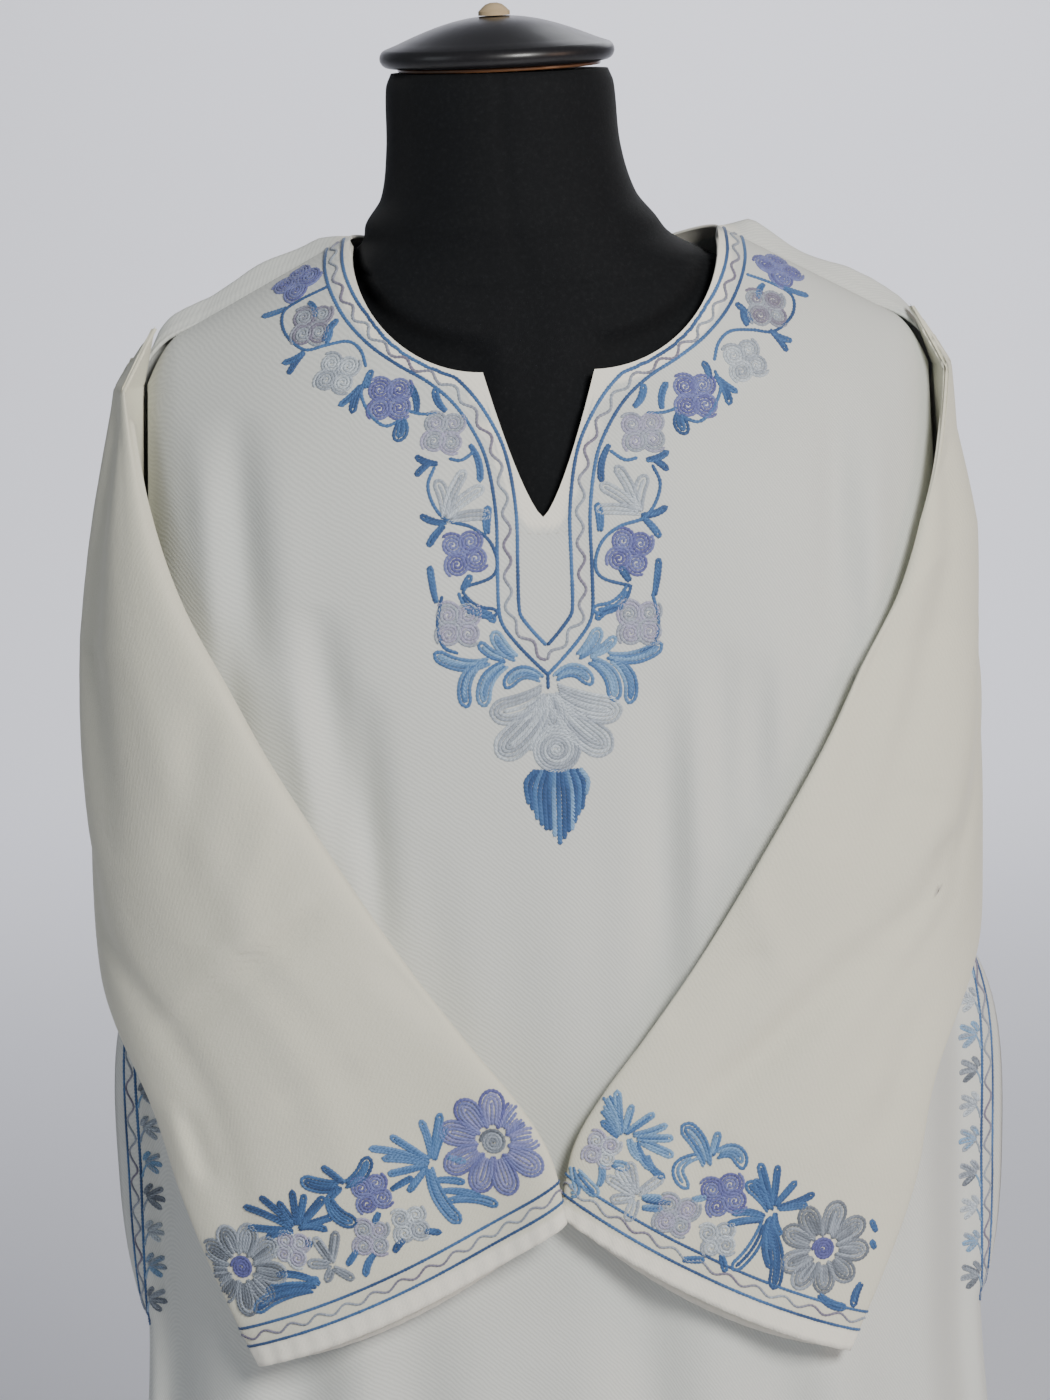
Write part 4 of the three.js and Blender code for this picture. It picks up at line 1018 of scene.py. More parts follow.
def motifFrame(x, z, settle):
    # the tangent plane where a motif sits: a across it and b up it
    place, normal, _ = settle(onFront(np.array([[x, z]], float)))
    across = np.cross(np.array([0, 0, 1.0]), -normal[0])
    across /= np.linalg.norm(across)
    up = np.cross(across, -normal[0]) * -1
    up *= np.sign(up[2]) or 1.0
    return place[0], across, up


def onFrame(frameAt, flatPath):
    # a flat path laid on a motif's plane
    place, across, up = frameAt
    return place + flatPath[:, :1] * across + flatPath[:, 1:2] * up


def spiral(cx, cz, a, b, angle=0.0):
    # an ellipse wound inwards by one row's gap a turn
    turns = max(1.0, min(a, b) / stitching["coilGap"] - 0.25)
    run = np.linspace(0, 1, int(26 * turns) + 8)
    radius = 1 - run * (1 - 0.25 / turns)
    turn = 2 * np.pi * turns * run
    px, pz = a * radius * np.cos(turn), b * radius * np.sin(turn)
    return np.stack([cx + px * np.cos(angle) - pz * np.sin(angle),
                     cz + px * np.sin(angle) + pz * np.cos(angle)], axis=-1)


leafShape = {"inset": 1.2, "leastReach": 0.9, "centreRoom": -1.3, "base": 0.45, "fullAt": 0.6, "roundTip": 0.45}


def leafRows(x0, z0, x1, z1, bend, width):
    # nested hairpins about a curved middle line, narrow at the base and round at the tip, and a row down
    # the middle where there is room for one
    start, end = np.array([x0, z0], float), np.array([x1, z1], float)
    way = end - start
    length = max(np.linalg.norm(way), 1.0)
    sideways = np.array([-way[1], way[0]])
    tip = 1 - min(leafShape["roundTip"], width / 2 / length)
    gap = stitching["rowGap"]

    def middle(s):
        return start + s[:, None] * way + (bend * 4 * s * (1 - s))[:, None] * sideways
    paths, reach, row = [], width / 2 - leafShape["inset"], 0
    while reach > leafShape["leastReach"]:
        s = np.linspace(0.5 * row * gap / length, 1 - row * gap / length, 18)
        line = middle(s)
        tangent = unit(np.gradient(line, axis=0))
        outward = np.stack([-tangent[:, 1], tangent[:, 0]], axis=-1)
        fullness = mix(leafShape["base"], 1, np.sin(np.pi / 2 * np.clip(s / leafShape["fullAt"], 0, 1)))
        rounded = np.sqrt(1 - np.clip((s / s[-1] - tip) / (1 - tip), 0, 0.985) ** 2)
        off = (np.maximum(reach * fullness, 0.5) * rounded)[:, None]
        paths.append(np.concatenate([line + outward * off, (line - outward * off)[::-1]]))
        reach -= gap
        row += 1
    if reach > leafShape["centreRoom"]:
        paths.append(middle(np.linspace(0.1, max(0.4, 1 - (row + 0.1) * gap / length), 12)))
    return paths


# shares of the flower's size
flowerShape = {"lobeAt": 0.27, "lobe": 0.262, "petalFrom": 0.13, "petalTo": 0.5, "petalRing": 0.34,
               "petalFat": 1.12, "heart": 0.12}


def laceFlower(x, z, size, pair, settle, turn):
    # four round lobes, each a spiral, in a slightly thinner thread
    f = flowerShape
    at = motifFrame(x, z, settle)
    reach = size * f["lobeAt"]
    for k in range(4):
        angle = turn + k * np.pi / 2 + dice.normal(0, 0.06)
        radius = size * f["lobe"] * (1 + dice.normal(0, 0.04))
        lobe = spiral(reach * np.cos(angle), reach * np.sin(angle), radius * 1.04, radius, angle)
        sew(onFrame(at, lobe), settle, pair, width=stitching["lobeWidth"])


def daisy(x, z, size, petals, pair, inner, heart, turn, settle):
    # long petals of nested loops, paler inside, round a coiled heart
    f = flowerShape
    at = motifFrame(x, z, settle)
    near = size * f["petalFrom"]
    width = f["petalFat"] * 2 * np.pi * size * f["petalRing"] / petals
    for k in range(petals):
        angle = turn + 2 * np.pi * k / petals + dice.normal(0, 0.03)
        far = size * f["petalTo"] * (1 + dice.normal(0, 0.035))
        c, s = np.cos(angle), np.sin(angle)
        petal = leafRows(near * c, near * s, far * c, far * s, 0.0, width)
        for row, path in enumerate(petal):
            sew(onFrame(at, path), settle, inner if row else pair)
    sew(onFrame(at, spiral(0, 0, size * f["heart"], size * f["heart"])), settle, heart)


def leaves(settle, pair, rows):
    # each row: base x and z, tip x and z, bend, width
    for x0, z0, x1, z1, bend, width in rows:
        at = motifFrame(x0, z0, settle)
        target = settle(onFront(np.array([[x1, z1]], float)))[0][0]
        tip = np.array([np.dot(target - at[0], at[1]), np.dot(target - at[0], at[2])])
        for path in leafRows(0, 0, tip[0], tip[1], bend, width):
            sew(onFrame(at, path), settle, pair)


def vine(settle, pair, points, side=1):
    # one chain along a smooth curve
    place, _, _ = settle(onFront(throughPoints(points) * np.array([side, 1])))
    sew(place, settle, pair)


def takeStitches(name):
    # makes one piece of all that was sewn since the last one; a chain's ring has five points, narrow and high
    # where two loops meet, wide and hollow between; its colour holds painted shade at the edges and in the hollow,
    # and painted highlight on the raised points
    wide = np.array([-1.0, -0.52, 0.0, 0.52, 1.0])
    highWide = np.array([-0.35, 0.9, 0.35, 0.9, -0.35])
    highNarrow = np.array([-0.35, 0.55, 1.05, 0.55, -0.35])
    # painted shade at the ring's edges and in its hollow, painted highlight on its raised points
    paintedShadeWide = np.array([0.62, 1.12, 0.62, 1.12, 0.62])
    paintedShadeNarrow = np.array([0.62, 0.95, 1.14, 0.95, 0.62])
    points, colours, quads, triangles, offset = [], [], [], [], 0
    for place, normal, (first, second), width in stitches:
        n = len(place)
        across = unit(np.cross(normal, unit(np.gradient(place, axis=0))))
        narrow = (np.arange(n) % 2 == 0)[:, None]
        spread = np.where(narrow, stitching["narrow"], 1.0) * width / 2
        ends = np.minimum(np.arange(n), np.arange(n)[::-1])[:, None]
        taper = np.where(ends == 0, stitching["end"], 1.0)
        spread = spread * taper * (1 + dice.normal(0, stitching["uneven"], (n, 1)))
        high = np.where(narrow, highNarrow, highWide) * stitching["height"]
        high = high * (1 + dice.normal(0, stitching["unevenHeight"], (n, 1)))
        ring = place[:, None] + across[:, None] * (wide * spread)[:, :, None] + normal[:, None] * high[:, :, None]
        points.append(ring.reshape(-1, 3))
        # the dye runs from one shade to the other and back along the thread
        run = np.arange(n) * stitching["pitch"] / 2
        share = 0.5 + 0.5 * np.sin(run / dice.uniform(9, 26) + dice.uniform(0, 6.3))
        tone = mix(np.array(threads[first]), np.array(threads[second]), share[:, None])
        tone = tone * (1 + dice.normal(0, stitching["unevenDye"], (n, 1)))
        # the painted shade and highlight of each ring's points go into its colour
        tint = tone[:, None, :] * np.where(narrow, paintedShadeNarrow, paintedShadeWide)[:, :, None]
        colours.append(np.concatenate([np.clip(tint, 0, 1), np.ones((n, 5, 1))], axis=-1).reshape(-1, 4))
        i, j = np.meshgrid(np.arange(n - 1), np.arange(5), indexing="ij")
        k = (j + 1) % 5
        quads.append(np.stack([i * 5 + j, (i + 1) * 5 + j, (i + 1) * 5 + k, i * 5 + k], -1).reshape(-1, 4) + offset)
        fan = np.array([(0, 1, 2), (0, 2, 3), (0, 3, 4)])
        triangles.append(np.concatenate([fan, fan[:, ::-1] + (n - 1) * 5]) + offset)
        offset += n * 5
    piece = newPiece(name, np.concatenate(points), np.concatenate(quads), thread,
                     triangles=np.concatenate(triangles), colour=np.concatenate(colours))
    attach(piece, "root")
    print(name, "stitched:", len(piece.data.polygons), "faces")
    stitches.clear()
    return piece


# neck embroidery
neckBorder = {
    # half of the border's outer line on the front, from the point below the slit up to the shoulder
    "outer": [(0, -241), (8, -233), (17, -223), (24, -213), (26, -203), (26, -180), (26, -152), (30, -125),
              (37, -108), (48, -92), (62, -80), (78, -71), (94, -61), (107, -49), (115, -36), (119, -24),
              (119.5, -14)],
    "inner": 11.0, "middle": 5.5, "swing": 2.0, "waveLength": 17.0, "backOffset": 16.0, "step": 0.7,
}


def distanceTo(places, line):
    # how far each place is from the nearest point of a line
    return np.linalg.norm(places[:, None] - line[None], axis=-1).min(axis=1)


def marchOver(place, normal, heading, distance):
    # walks over the cloth in short steps, staying on it, until a point is the distance from the first line;
    # settling slides a point a little, so each step is aimed again at what it missed by along the cloth
    first, there = place, np.zeros((len(place), 1), bool)
    for _ in range(int(1.7 * np.max(distance))):
        heading = unit(heading - np.sum(heading * normal, axis=1, keepdims=True) * normal)
        target = place + heading * neckBorder["step"]
        aim = target
        for _ in range(3):
            moved, turned, _ = settleOnBody(aim)
            miss = target - moved
            aim = aim + miss - np.sum(miss * turned, axis=1, keepdims=True) * turned
        place, normal = np.where(there, place, moved), np.where(there, normal, turned)
        there |= distanceTo(place, first)[:, None] >= np.reshape(distance, (-1, 1))
    return place, normal


def sewNeckBorder():
    # a double line with a wave between: the outer line is given, and the others are marched inwards from it
    g = garment
    flat = throughPoints(neckBorder["outer"], 10)
    front = onFront(flat)
    x = g["neckHalf"] * np.cos(np.linspace(0, np.pi / 2, 60))
    z = neckline("back", x)
    edge, edgeNormal, _ = settleOnBody(np.stack([x, clothOut("back", x, z), z], axis=-1))
    back, _ = marchOver(edge, edgeNormal, np.cross(np.gradient(edge, axis=0), edgeNormal), neckBorder["backOffset"])
    half = evenly(np.concatenate([front[:-3], back[3:]]), 2.0)
    place, normal, _ = settleOnBody(half)
    inwards = np.cross(normal, np.gradient(place, axis=0))
    # where the border runs close to the neck's edge its lines draw together
    beyondSlit = mix(g["neckHalf"], g["slitHalf"], np.cos(np.linspace(0, np.pi / 2, 90)))
    xFront = np.concatenate([np.linspace(0, g["slitHalf"], 60), beyondSlit])
    neckEdge = np.concatenate([onFront(np.stack([xFront, neckline("front", xFront)], axis=-1)), edge])
    room = distanceTo(place, neckEdge)
    lines = {}
    for distance in (0.0, neckBorder["middle"], neckBorder["inner"]):
        reach = distance * np.clip((room - 2.6) / neckBorder["inner"], 0.3, 1)
        moved = marchOver(place, normal, inwards, reach)[0] if distance else place
        lines[distance] = moved[(distanceTo(moved, place) > reach - 0.5) & (moved[:, 0] > -0.3)]
    for side in (1, -1):
        for distance, moved in lines.items():
            path = evenly(moved * np.array([side, 1, 1]), 1.0)
            if distance == neckBorder["middle"]:
                settled, normals, _ = settleOnBody(path)
                across = np.cross(normals, unit(np.gradient(settled, axis=0)))
                run = np.arange(len(path)) * 1.0
                wave = np.sin(2 * np.pi * run / neckBorder["waveLength"] + 0.6 * np.sin(run / 37))
                sew(settled + across * (neckBorder["swing"] * wave)[:, None], settleOnBody, waveThread, width=2.3)
            else:
                sew(path, settleOnBody, blueThread, width=2.8)


sewNeckBorder()

# x, z, size, threads and turn of the flowers down each side, from the shoulder to the foot of the border
neckFlowers = [
    (137, -29, 30, ("violet", "cornflower"), 0.5), (128, -50, 28, ("silver", "mauve"), 0.9),
    (114, -76, 27, ("silver", "pale"), 0.6), (85, -91, 29, ("violet", "cornflower"), 0.85),
    (55, -109, 27, ("silver", "lilac"), 0.7), (46, -174, 27, ("violet", "cornflower"), 1.0),
    (50, -213, 28, ("lilac", "silver"), 0.75),
]
neckVines = [
    [(118, -31), (134, -38), (144, -45), (143, -55), (132, -63), (119, -61), (107, -60), (100, -65), (97, -74)],
    [(97, -79), (100, -88), (95, -99), (87, -105), (78, -102)],
    [(75, -97), (67, -99), (58, -99)],
    [(52, -123), (45, -124), (37, -119)],
    [(60, -127), (64, -137), (61, -148), (54, -156), (41, -160), (31, -168), (27, -180), (31, -188), (47, -193)],
    [(58, -197), (61, -213), (58, -225), (50, -229)],
]
# base x and z, tip x and z, bend, width
neckLeaves = {
    "blue": [(140, -41, 154, -46, 0.05, 4.6), (128, -38, 124, -45, 0.1, 4.6), (120, -58, 112, -47, 0.1, 4.8),
             (118, -59, 116, -50, -0.1, 4.6), (131, -63, 143, -69, 0.1, 4.6), (130, -64, 139, -75, -0.05, 4.6),
             (99, -82, 111, -92, 0.05, 4.6), (99, -83, 105, -97, -0.08, 5.6), (95, -84, 92, -75, 0.1, 5.0),
             (77, -101, 80, -112, 0.15, 9.5), (68, -98, 71, -84, -0.1, 4.8), (52, -98, 58, -86, 0.12, 5.0),
             (58, -125, 70, -121, 0.1, 4.6), (60, -124, 69, -131, -0.05, 4.6), (38, -116, 33, -136, 0.1, 4.6),
             (54, -155, 68, -151, 0.1, 4.6), (54, -157, 63, -168, -0.05, 4.8), (31, -164, 30, -149, 0.05, 5.4),
             (47, -192, 42, -184, 0.0, 5.0), (60, -200, 63, -180, 0.02, 4.6), (47, -194, 27, -206, -0.2, 7.5),
             (44, -204, 29, -210, 0.15, 5.0)],
    "sky": [(17, -231, 29, -216, 0.1, 8.5), (33, -233, 63, -228, 0.14, 8.5), (36, -233, 45, -258, -0.2, 8.5),
            (23, -234, 36, -257, -0.2, 9.5), (4, -243, 24, -247, -0.3, 9.0), (23, -231, 37, -222, 0.1, 6.5)],
}
fanLeaves = [(54, -153, 58, -134, -0.1, 8.0), (53, -153, 41, -128, 0.05, 7.0), (53, -153, 32, -138, 0.05, 7.5),
             (53, -154, 29, -152, 0.05, 7.0)]
for side in (1, -1):
    def mirrored(rows):
        # the rows on this side, each moved a little by chance
        wobble = dice.normal(0, 0.7, (len(rows), 2))
        return [(side * (row[0] + dx), row[1] + dz, side * (row[2] + dx), row[3] + dz, side * row[4], row[5])
                for row, (dx, dz) in zip(rows, wobble)]
    for x, z, size, pair, turn in neckFlowers:
        laceFlower(side * (x + side * 1.5), z - side * 1.0, size, pair, settleOnBody, turn * side)
    for line in neckVines:
        vine(settleOnBody, blueThread, [(x + side * 1.0, z - side) for x, z in line], side)
    leaves(settleOnBody, blueThread, mirrored(neckLeaves["blue"]))
    leaves(settleOnBody, ("sky", "blue"), mirrored(neckLeaves["sky"]))
    leaves(settleOnBody, paleThread, mirrored(fanLeaves))
neckPieces = [takeStitches("neckEmbroidery")]

# the large pale flower and its tassel of blue strokes below the border's point
leaves(settleOnBody, paleThread, [
    (-1, -249, -32, -261, -0.12, 16.5), (3, -249, 40, -262, 0.1, 17), (-1, -255, -29, -285, -0.06, 19),
    (6, -258, 34, -284, 0.06, 19), (1, -251, 3, -274, 0.0, 17)])
at = motifFrame(3.5, -283, settleOnBody)
sew(onFrame(at, spiral(0, 0, 14.0, 13.6)), settleOnBody, ("silver", "pale"))
tassel = {
    "top": -294, "middle": 4, "strokes": 15, "width": 3.8,
    # x at the top, x and z at the foot
    "marks": np.array([
        (-8, -15.7, -312), (-5.6, -12.2, -319), (-3.2, -8, -325.5), (-0.8, -3.8, -328.5), (1.6, -0.4, -331),
        (4, 4.2, -338.5), (6.4, 8.7, -331), (8.8, 12.2, -329.5), (11.2, 14.8, -323.5), (13.6, 18.5, -319),
        (16, 22, -311)], float),
}
marks = tassel["marks"]
for k, mark in enumerate(np.linspace(0, len(marks) - 1, tassel["strokes"])):
    x0, x1, z1 = (np.interp(mark, np.arange(len(marks)), column) for column in marks.T)
    pair = (blueThread, ("deep", "blue"), ("blue", "sky"), ("deep", "blue"))[k % 4]
    stroke = [(x0, tassel["top"]), (mix(x0, x1, 0.75), mix(tassel["top"], z1, 0.4)),
              (mix(x1, tassel["middle"], 0.16), z1 + dice.normal(0, 0.8))]
    sew(onFront(throughPoints(stroke)), settleOnBody, pair, width=tassel["width"])
vine(settleOnBody, blueThread, [(0, -240), (0, -246), (0, -249)])
neckPieces.append(takeStitches("tasselEmbroidery"))


# cuff embroidery
cuffBorder = {
    "waveLength": 17.0,
    # distance from the hem, swing, threads, width
    "lines": [(13.0, 0.0, blueThread, 2.3), (18.5, 1.7, waveThread, 1.8), (24.0, 0.0, blueThread, 2.3)],
}


def sewCuffBorder(sleeve):
    # two straight lines and a wavy one round the whole cuff, at set distances from its hem
    turn = np.linspace(0, 2 * np.pi, 420)
    hem = sleevePoint(sleeve, 11.0, turn)
    long = np.linalg.norm(hem - sleevePoint(sleeve, 10.0, turn), axis=1)
    wave = np.sin(2 * np.pi * pathLengths(hem) / cuffBorder["waveLength"])
    for distance, swing, pair, width in cuffBorder["lines"]:
        t = 11.0 - (distance + swing * wave) / long
        place = sleevePoint(sleeve, t, turn)
        across = sleevePoint(sleeve, t, turn + 0.01) - sleevePoint(sleeve, t, turn - 0.01)
        along = sleevePoint(sleeve, t + 0.01, turn) - sleevePoint(sleeve, t - 0.01, turn)
        layChain(place, unit(np.cross(along, across) * sleeve["side"]), pair, width)


cuffs = {
    "right": {
        # x, z, size, petals, threads outside, inside and at the heart, turn
        "daisies": [
            (-38, -499, 60, 9, ("cornflower", "violet"), ("cornflower", "lavender"), ("silver", "slate"), 0.2),
            (-183, -577, 54, 9, ("slate", "silver"), ("silver", "slate"), ("violet", "violet"), 0.4)],
        "flowers": [(-107, -529, 24, ("violet", "cornflower")), (-86, -547, 23, ("silver", "pale")),
                    (-108, -555, 24, ("lilac", "silver")), (-153, -563, 22, ("lilac", "pale"))],
        "leaves": [
            (("blue", "mid"), [
                (-74, -512, -107, -503, 0.05, 5), (-76, -512, -100, -509, 0.04, 5), (-75, -513, -97, -518, 0, 5),
                (-74, -510, -95, -496, 0, 5), (-73, -509, -78, -487, 0.05, 5), (-72, -509, -67, -483, 0, 5.5),
                (-71, -510, -64, -491, -0.05, 5), (-76, -515, -86, -528, 0, 5), (-74, -514, -58, -546, 0.1, 9),
                (-72, -522, -55, -523, -0.05, 5), (-68, -528, -46, -531, -0.05, 5),
                (-64, -534, -37, -536, -0.1, 6.5), (-64, -508, -54, -511, 0, 4.6)]),
            (("deep", "blue"), [
                (-122, -524, -108, -508, 0.15, 9), (-124, -524, -146, -522, -0.1, 10),
                (-122, -523, -134, -514, 0, 5), (-124, -526, -132, -533, 0, 5), (-131, -532, -116, -546, 0.2, 10),
                (-153, -551, -179, -541, 0.05, 5), (-152, -550, -170, -534, 0.03, 5),
                (-151, -549, -160, -536, 0, 5), (-150, -549, -152, -529, 0, 5), (-149, -549, -145, -531, 0, 5),
                (-148, -549, -134, -532, 0, 6), (-148, -550, -129, -543, 0, 5), (-149, -551, -133, -551, -0.1, 5),
                (-153, -552, -177, -553, 0, 5), (-152, -553, -167, -558, 0.1, 5), (-138, -583, -162, -579, 0.1, 5),
                (-140, -584, -168, -589, 0.05, 6), (-142, -586, -175, -602, 0.1, 9),
                (-146, -581, -139, -580, 0, 4.6), (-116, -562, -122, -571, 0, 4.6),
                (-106, -564, -112, -577, 0.1, 5), (-78, -551, -69, -552, 0, 4.6), (-89, -556, -95, -563, 0.1, 5),
                (-96, -527, -84, -520, 0, 4.6), (-103, -540, -106, -546, 0, 4.6), (-144, -557, -143, -561, 0, 5)]),
            (("slate", "silver"), [
                (-131, -570, -128, -552, 0, 6.5), (-131, -570, -140, -556, 0, 6.5), (-131, -571, -144, -571, 0, 7),
                (-131, -573, -134, -581, 0, 6), (-130, -573, -119, -579, 0, 6)]),
        ],
    },
    "left": {
        "daisies": [(146, -573, 54, 9, ("slate", "silver"), ("silver", "slate"), ("violet", "violet"), 0.5)],
        "flowers": [(22, -508, 22, ("lilac", "pale")), (90, -537, 27, ("cornflower", "violet")),
                    (63, -547, 26, ("lilac", "silver")), (86, -562, 23, ("silver", "pale")),
                    (2, -500, 22, ("violet", "cornflower"))],
        "leaves": [
            (("sky", "blue"), [
                (34, -499, 24, -475, 0.05, 6), (33, -499, 32, -475, 0, 5.5), (33, -500, 21, -482, 0.05, 5.5),
                (32, -501, 23, -492, 0, 5), (35, -499, 40, -483, 0, 5), (36, -499, 52, -488, 0, 5),
                (40, -500, 59, -495, 0.05, 5), (42, -502, 62, -503, 0, 5.5), (44, -504, 62, -513, 0, 6),
                (42, -504, 50, -520, 0.1, 5.5), (38, -502, 44, -514, 0.1, 5.5), (48, -512, 57, -525, 0.15, 5),
                (81, -520, 68, -496, 0.1, 11), (84, -514, 88, -501, 0, 5.5), (86, -514, 101, -522, -0.4, 10),
                (76, -514, 70, -532, 0.45, 8), (4, -508, 7, -535, 0.1, 11), (8, -520, 20, -534, 0.05, 8),
                (20, -529, 22, -517, 0.1, 5), (44, -536, 55, -537, 0, 5), (44, -542, 55, -543, 0, 5),
                (72, -539, 80, -538, 0, 4.6), (28, -516, 37, -519, 0, 7)]),
            (("deep", "blue"), [
                (116, -548, 103, -531, 0.1, 9), (117, -545, 111, -520, 0, 6), (118, -545, 121, -522, 0, 5),
                (119, -545, 131, -532, 0, 5), (120, -546, 141, -540, 0.05, 5), (121, -547, 137, -546, 0, 5),
                (114, -544, 108, -529, 0, 6), (113, -551, 95, -548, 0.1, 5), (112, -553, 92, -554, 0.05, 5),
                (113, -552, 94, -580, -0.1, 8), (114, -554, 117, -593, -0.1, 9), (116, -552, 116, -581, 0.1, 6),
                (117, -551, 116, -570, 0.1, 5), (119, -549, 122, -562, 0.1, 4.6), (66, -573, 78, -574, 0, 5),
                (88, -571, 90, -581, 0, 5), (177, -567, 174, -560, 0, 4.6), (176, -577, 174, -572, 0, 4.6),
                (168, -596, 163, -609, 0.1, 6), (143, -599, 158, -609, 0.1, 6), (60, -540, 45, -537, 0, 4.6)]),
            (paleThread, [
                (41, -535, 25, -524, 0, 7), (41, -534, 38, -516, 0, 7), (42, -534, 56, -525, 0, 7),
                (40, -536, 27, -537, 0, 7), (41, -537, 36, -549, 0, 8), (41, -535, 31, -519, 0, 7)]),
        ],
    },
}


def sewCuff(key, name):
    # the border, then the daisies, the round flowers and the leaves
    sleeve = sleeves[key]
    settle = settleOnCuff(sleeve, cuffChart(sleeve))
    sewCuffBorder(sleeve)
    look = cuffs[key]
    for row in look["daisies"]:
        daisy(*row, settle)
    for row in look["flowers"]:
        laceFlower(*row, settle, dice.uniform(0.4, 1.1))
    for pair, rows in look["leaves"]:
        leaves(settle, pair, rows)
    return takeStitches(name)


cuffPieces = {"right": sewCuff("right", "rightCuffEmbroidery"), "left": sewCuff("left", "leftCuffEmbroidery")}


# pocket edges
pocketEdge = {
    "lines": (11.0, 21.5), "wave": 16.3, "swing": 3.2, "waveLength": 19.0, "sprigs": 24.5, "sprigGap": 21.0,
    "stemFrom": 22.5, "stemReach": 3, "stemDrop": 9,
    # leaves of one sprig: base, tip, bend, width
    "sprig": [(0, 0, 11, 7, 0.05, 4.8), (0, 0, 13, -1, 0.0, 4.8), (1, -1, 9, -8, -0.05, 4.8),
              (-1, 2, 3, 9, 0.1, 4.4)],
}


def edgePlace(side, z, distance):
    # the place on the front panel at a set length round the section from the pocket's edge
    z = np.asarray(z, float)
    angle = edgeAngle("front", z)[:, None] - np.linspace(0, 0.75, 90)[None, :]
    x = bodySize("half", z)[:, None] * np.sin(angle) ** (2 / garment["squareness"])
    depth = drapeDepth("front", x, z[:, None])
    nearEdge = np.exp(-np.maximum(0, depth - garment["pocketMouth"][2]) / garment["lipReach"]["front"])
    lip = garment["lip"]["front"] * eye(garment["pocketMouth"], z)[:, None] * nearEdge
    out = clothOut("front", side * x, z[:, None])
    rows, i, share = stepInto(rowLengths(x, out), np.broadcast_to(distance, z.shape))
    x = x + lip
    px = mix(x[rows, i], x[rows, i + 1], share)
    py = -mix(out[rows, i], out[rows, i + 1], share)
    wayX, wayY = x[rows, i + 1] - x[rows, i], -(out[rows, i + 1] - out[rows, i])
    long = np.maximum(np.hypot(wayX, wayY), 1e-9)
    normal = np.stack([-side * wayY / long, wayX / long, np.zeros(len(z))], axis=-1)
    normal *= np.where(normal[:, 0] * side < 0, -1, 1)[:, None]
    return np.stack([side * px, py, z], axis=-1), normal


def sewEdge(side, z, distance, pair, width):
    # a chain at a set length from the pocket's edge
    layChain(*edgePlace(side, z, distance), pair, width)


def sewPocketEdge(side, name):
    # two lines with a wave between them, and a row of sprigs on short stems
    p = pocketEdge
    top, bottom, _ = garment["pocketMouth"]
    z = np.arange(top + 6, bottom - 6, -1.0)
    for distance in p["lines"]:
        sewEdge(side, z, distance, blueThread, 2.5)
    wave = np.sin(2 * np.pi * z / p["waveLength"] + 0.7 * np.sin(z / 31))
    sewEdge(side, z, p["wave"] + p["swing"] * wave, waveThread, 1.7)
    sprig = [path for leaf in p["sprig"] for path in leafRows(*leaf)]
    stem = np.linspace(0, 1, 8)
    for k, level in enumerate(np.arange(top - 6, bottom + 6, -p["sprigGap"])):
        pair = (("silver", "slate"), paleThread, ("silver", "sky"))[k % 3]
        size = dice.uniform(0.68, 0.9)
        for path in sprig:
            sewEdge(side, level + size * path[:, 1], p["sprigs"] + size * path[:, 0], pair, 2.2)
        height = level - p["stemDrop"] + p["stemDrop"] * stem
        sewEdge(side, height, p["stemFrom"] + p["stemReach"] * stem**2, ("sky", "silver"), 1.7)
    return takeStitches(name)


pocketPieces = {1: sewPocketEdge(1, "leftPocketEmbroidery"), -1: sewPocketEdge(-1, "rightPocketEmbroidery")}


# plain sewing: the foot of the facing, and the hem
sewing = {"dash": 3.2, "gap": 2.2, "width": 0.7, "height": 0.28, "hemUp": 22, "hemHalf": 270,
          "colour": (0.66, 0.65, 0.60, 1.0)}


def runningStitch(points):
    # short rounded dashes along a path, each a six-sided lozenge lying on the cloth
    points = evenly(np.asarray(points, float), sewing["dash"] + sewing["gap"])
    place, normal, good = settleOnBody(points)
    ahead = unit(np.gradient(place, axis=0))
    across = np.cross(normal, ahead)
    half, width, high = sewing["dash"] / 2, sewing["width"] / 2, sewing["height"]
    corners = np.array([
        (-half, 0, -0.2), (-half / 2, -width, -0.1), (half / 2, -width, -0.1), (half, 0, -0.2),
        (half / 2, width, -0.1), (-half / 2, width, -0.1), (-half / 2, 0, high), (half / 2, 0, high)])
    block = (place[:, None] + ahead[:, None] * corners[:, 0, None] + across[:, None] * corners[:, 1, None]
             + normal[:, None] * corners[:, 2, None])[good]
    return block.reshape(-1, 3)


def sewingMesh(name, paths):
    # all the dashes in one mesh
    points = np.concatenate([runningStitch(path) for path in paths])
    count = len(points) // 8
    base = (np.arange(count) * 8)[:, None, None]
    quads = (np.array([(1, 2, 7, 6), (4, 5, 6, 7), (5, 4, 2, 1)]) + base).reshape(-1, 4)
    triangles = (np.array([(0, 1, 6), (5, 0, 6), (3, 4, 7), (2, 3, 7), (0, 5, 1), (3, 2, 4)]) + base).reshape(-1, 3)
    colour = np.tile(np.array(sewing["colour"]), (len(points), 1))
    piece = newPiece(name, points, quads, thread, triangles=triangles, colour=colour)
    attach(piece, "root")
    return piece


def onPanel(face, x, z):
    # places on a panel's outside
    out = clothOut(face, x, z)
    return np.stack([x, -out if face == "front" else out, z], axis=-1)


facingFoot = throughPoints([(-13, -163), (-4, -164), (5, -164), (13, -163)], 16)
hemX = np.linspace(-1, 1, 160) * sewing["hemHalf"]
hemZ = np.full(len(hemX), sewing["hemUp"] - garment["hemDrop"])
plainSewing = sewingMesh("plainSewing", [
    onPanel("front", facingFoot[:, 0], facingFoot[:, 1]), onPanel("front", hemX, hemZ), onPanel("back", hemX, hemZ)])
print("plain sewing made")


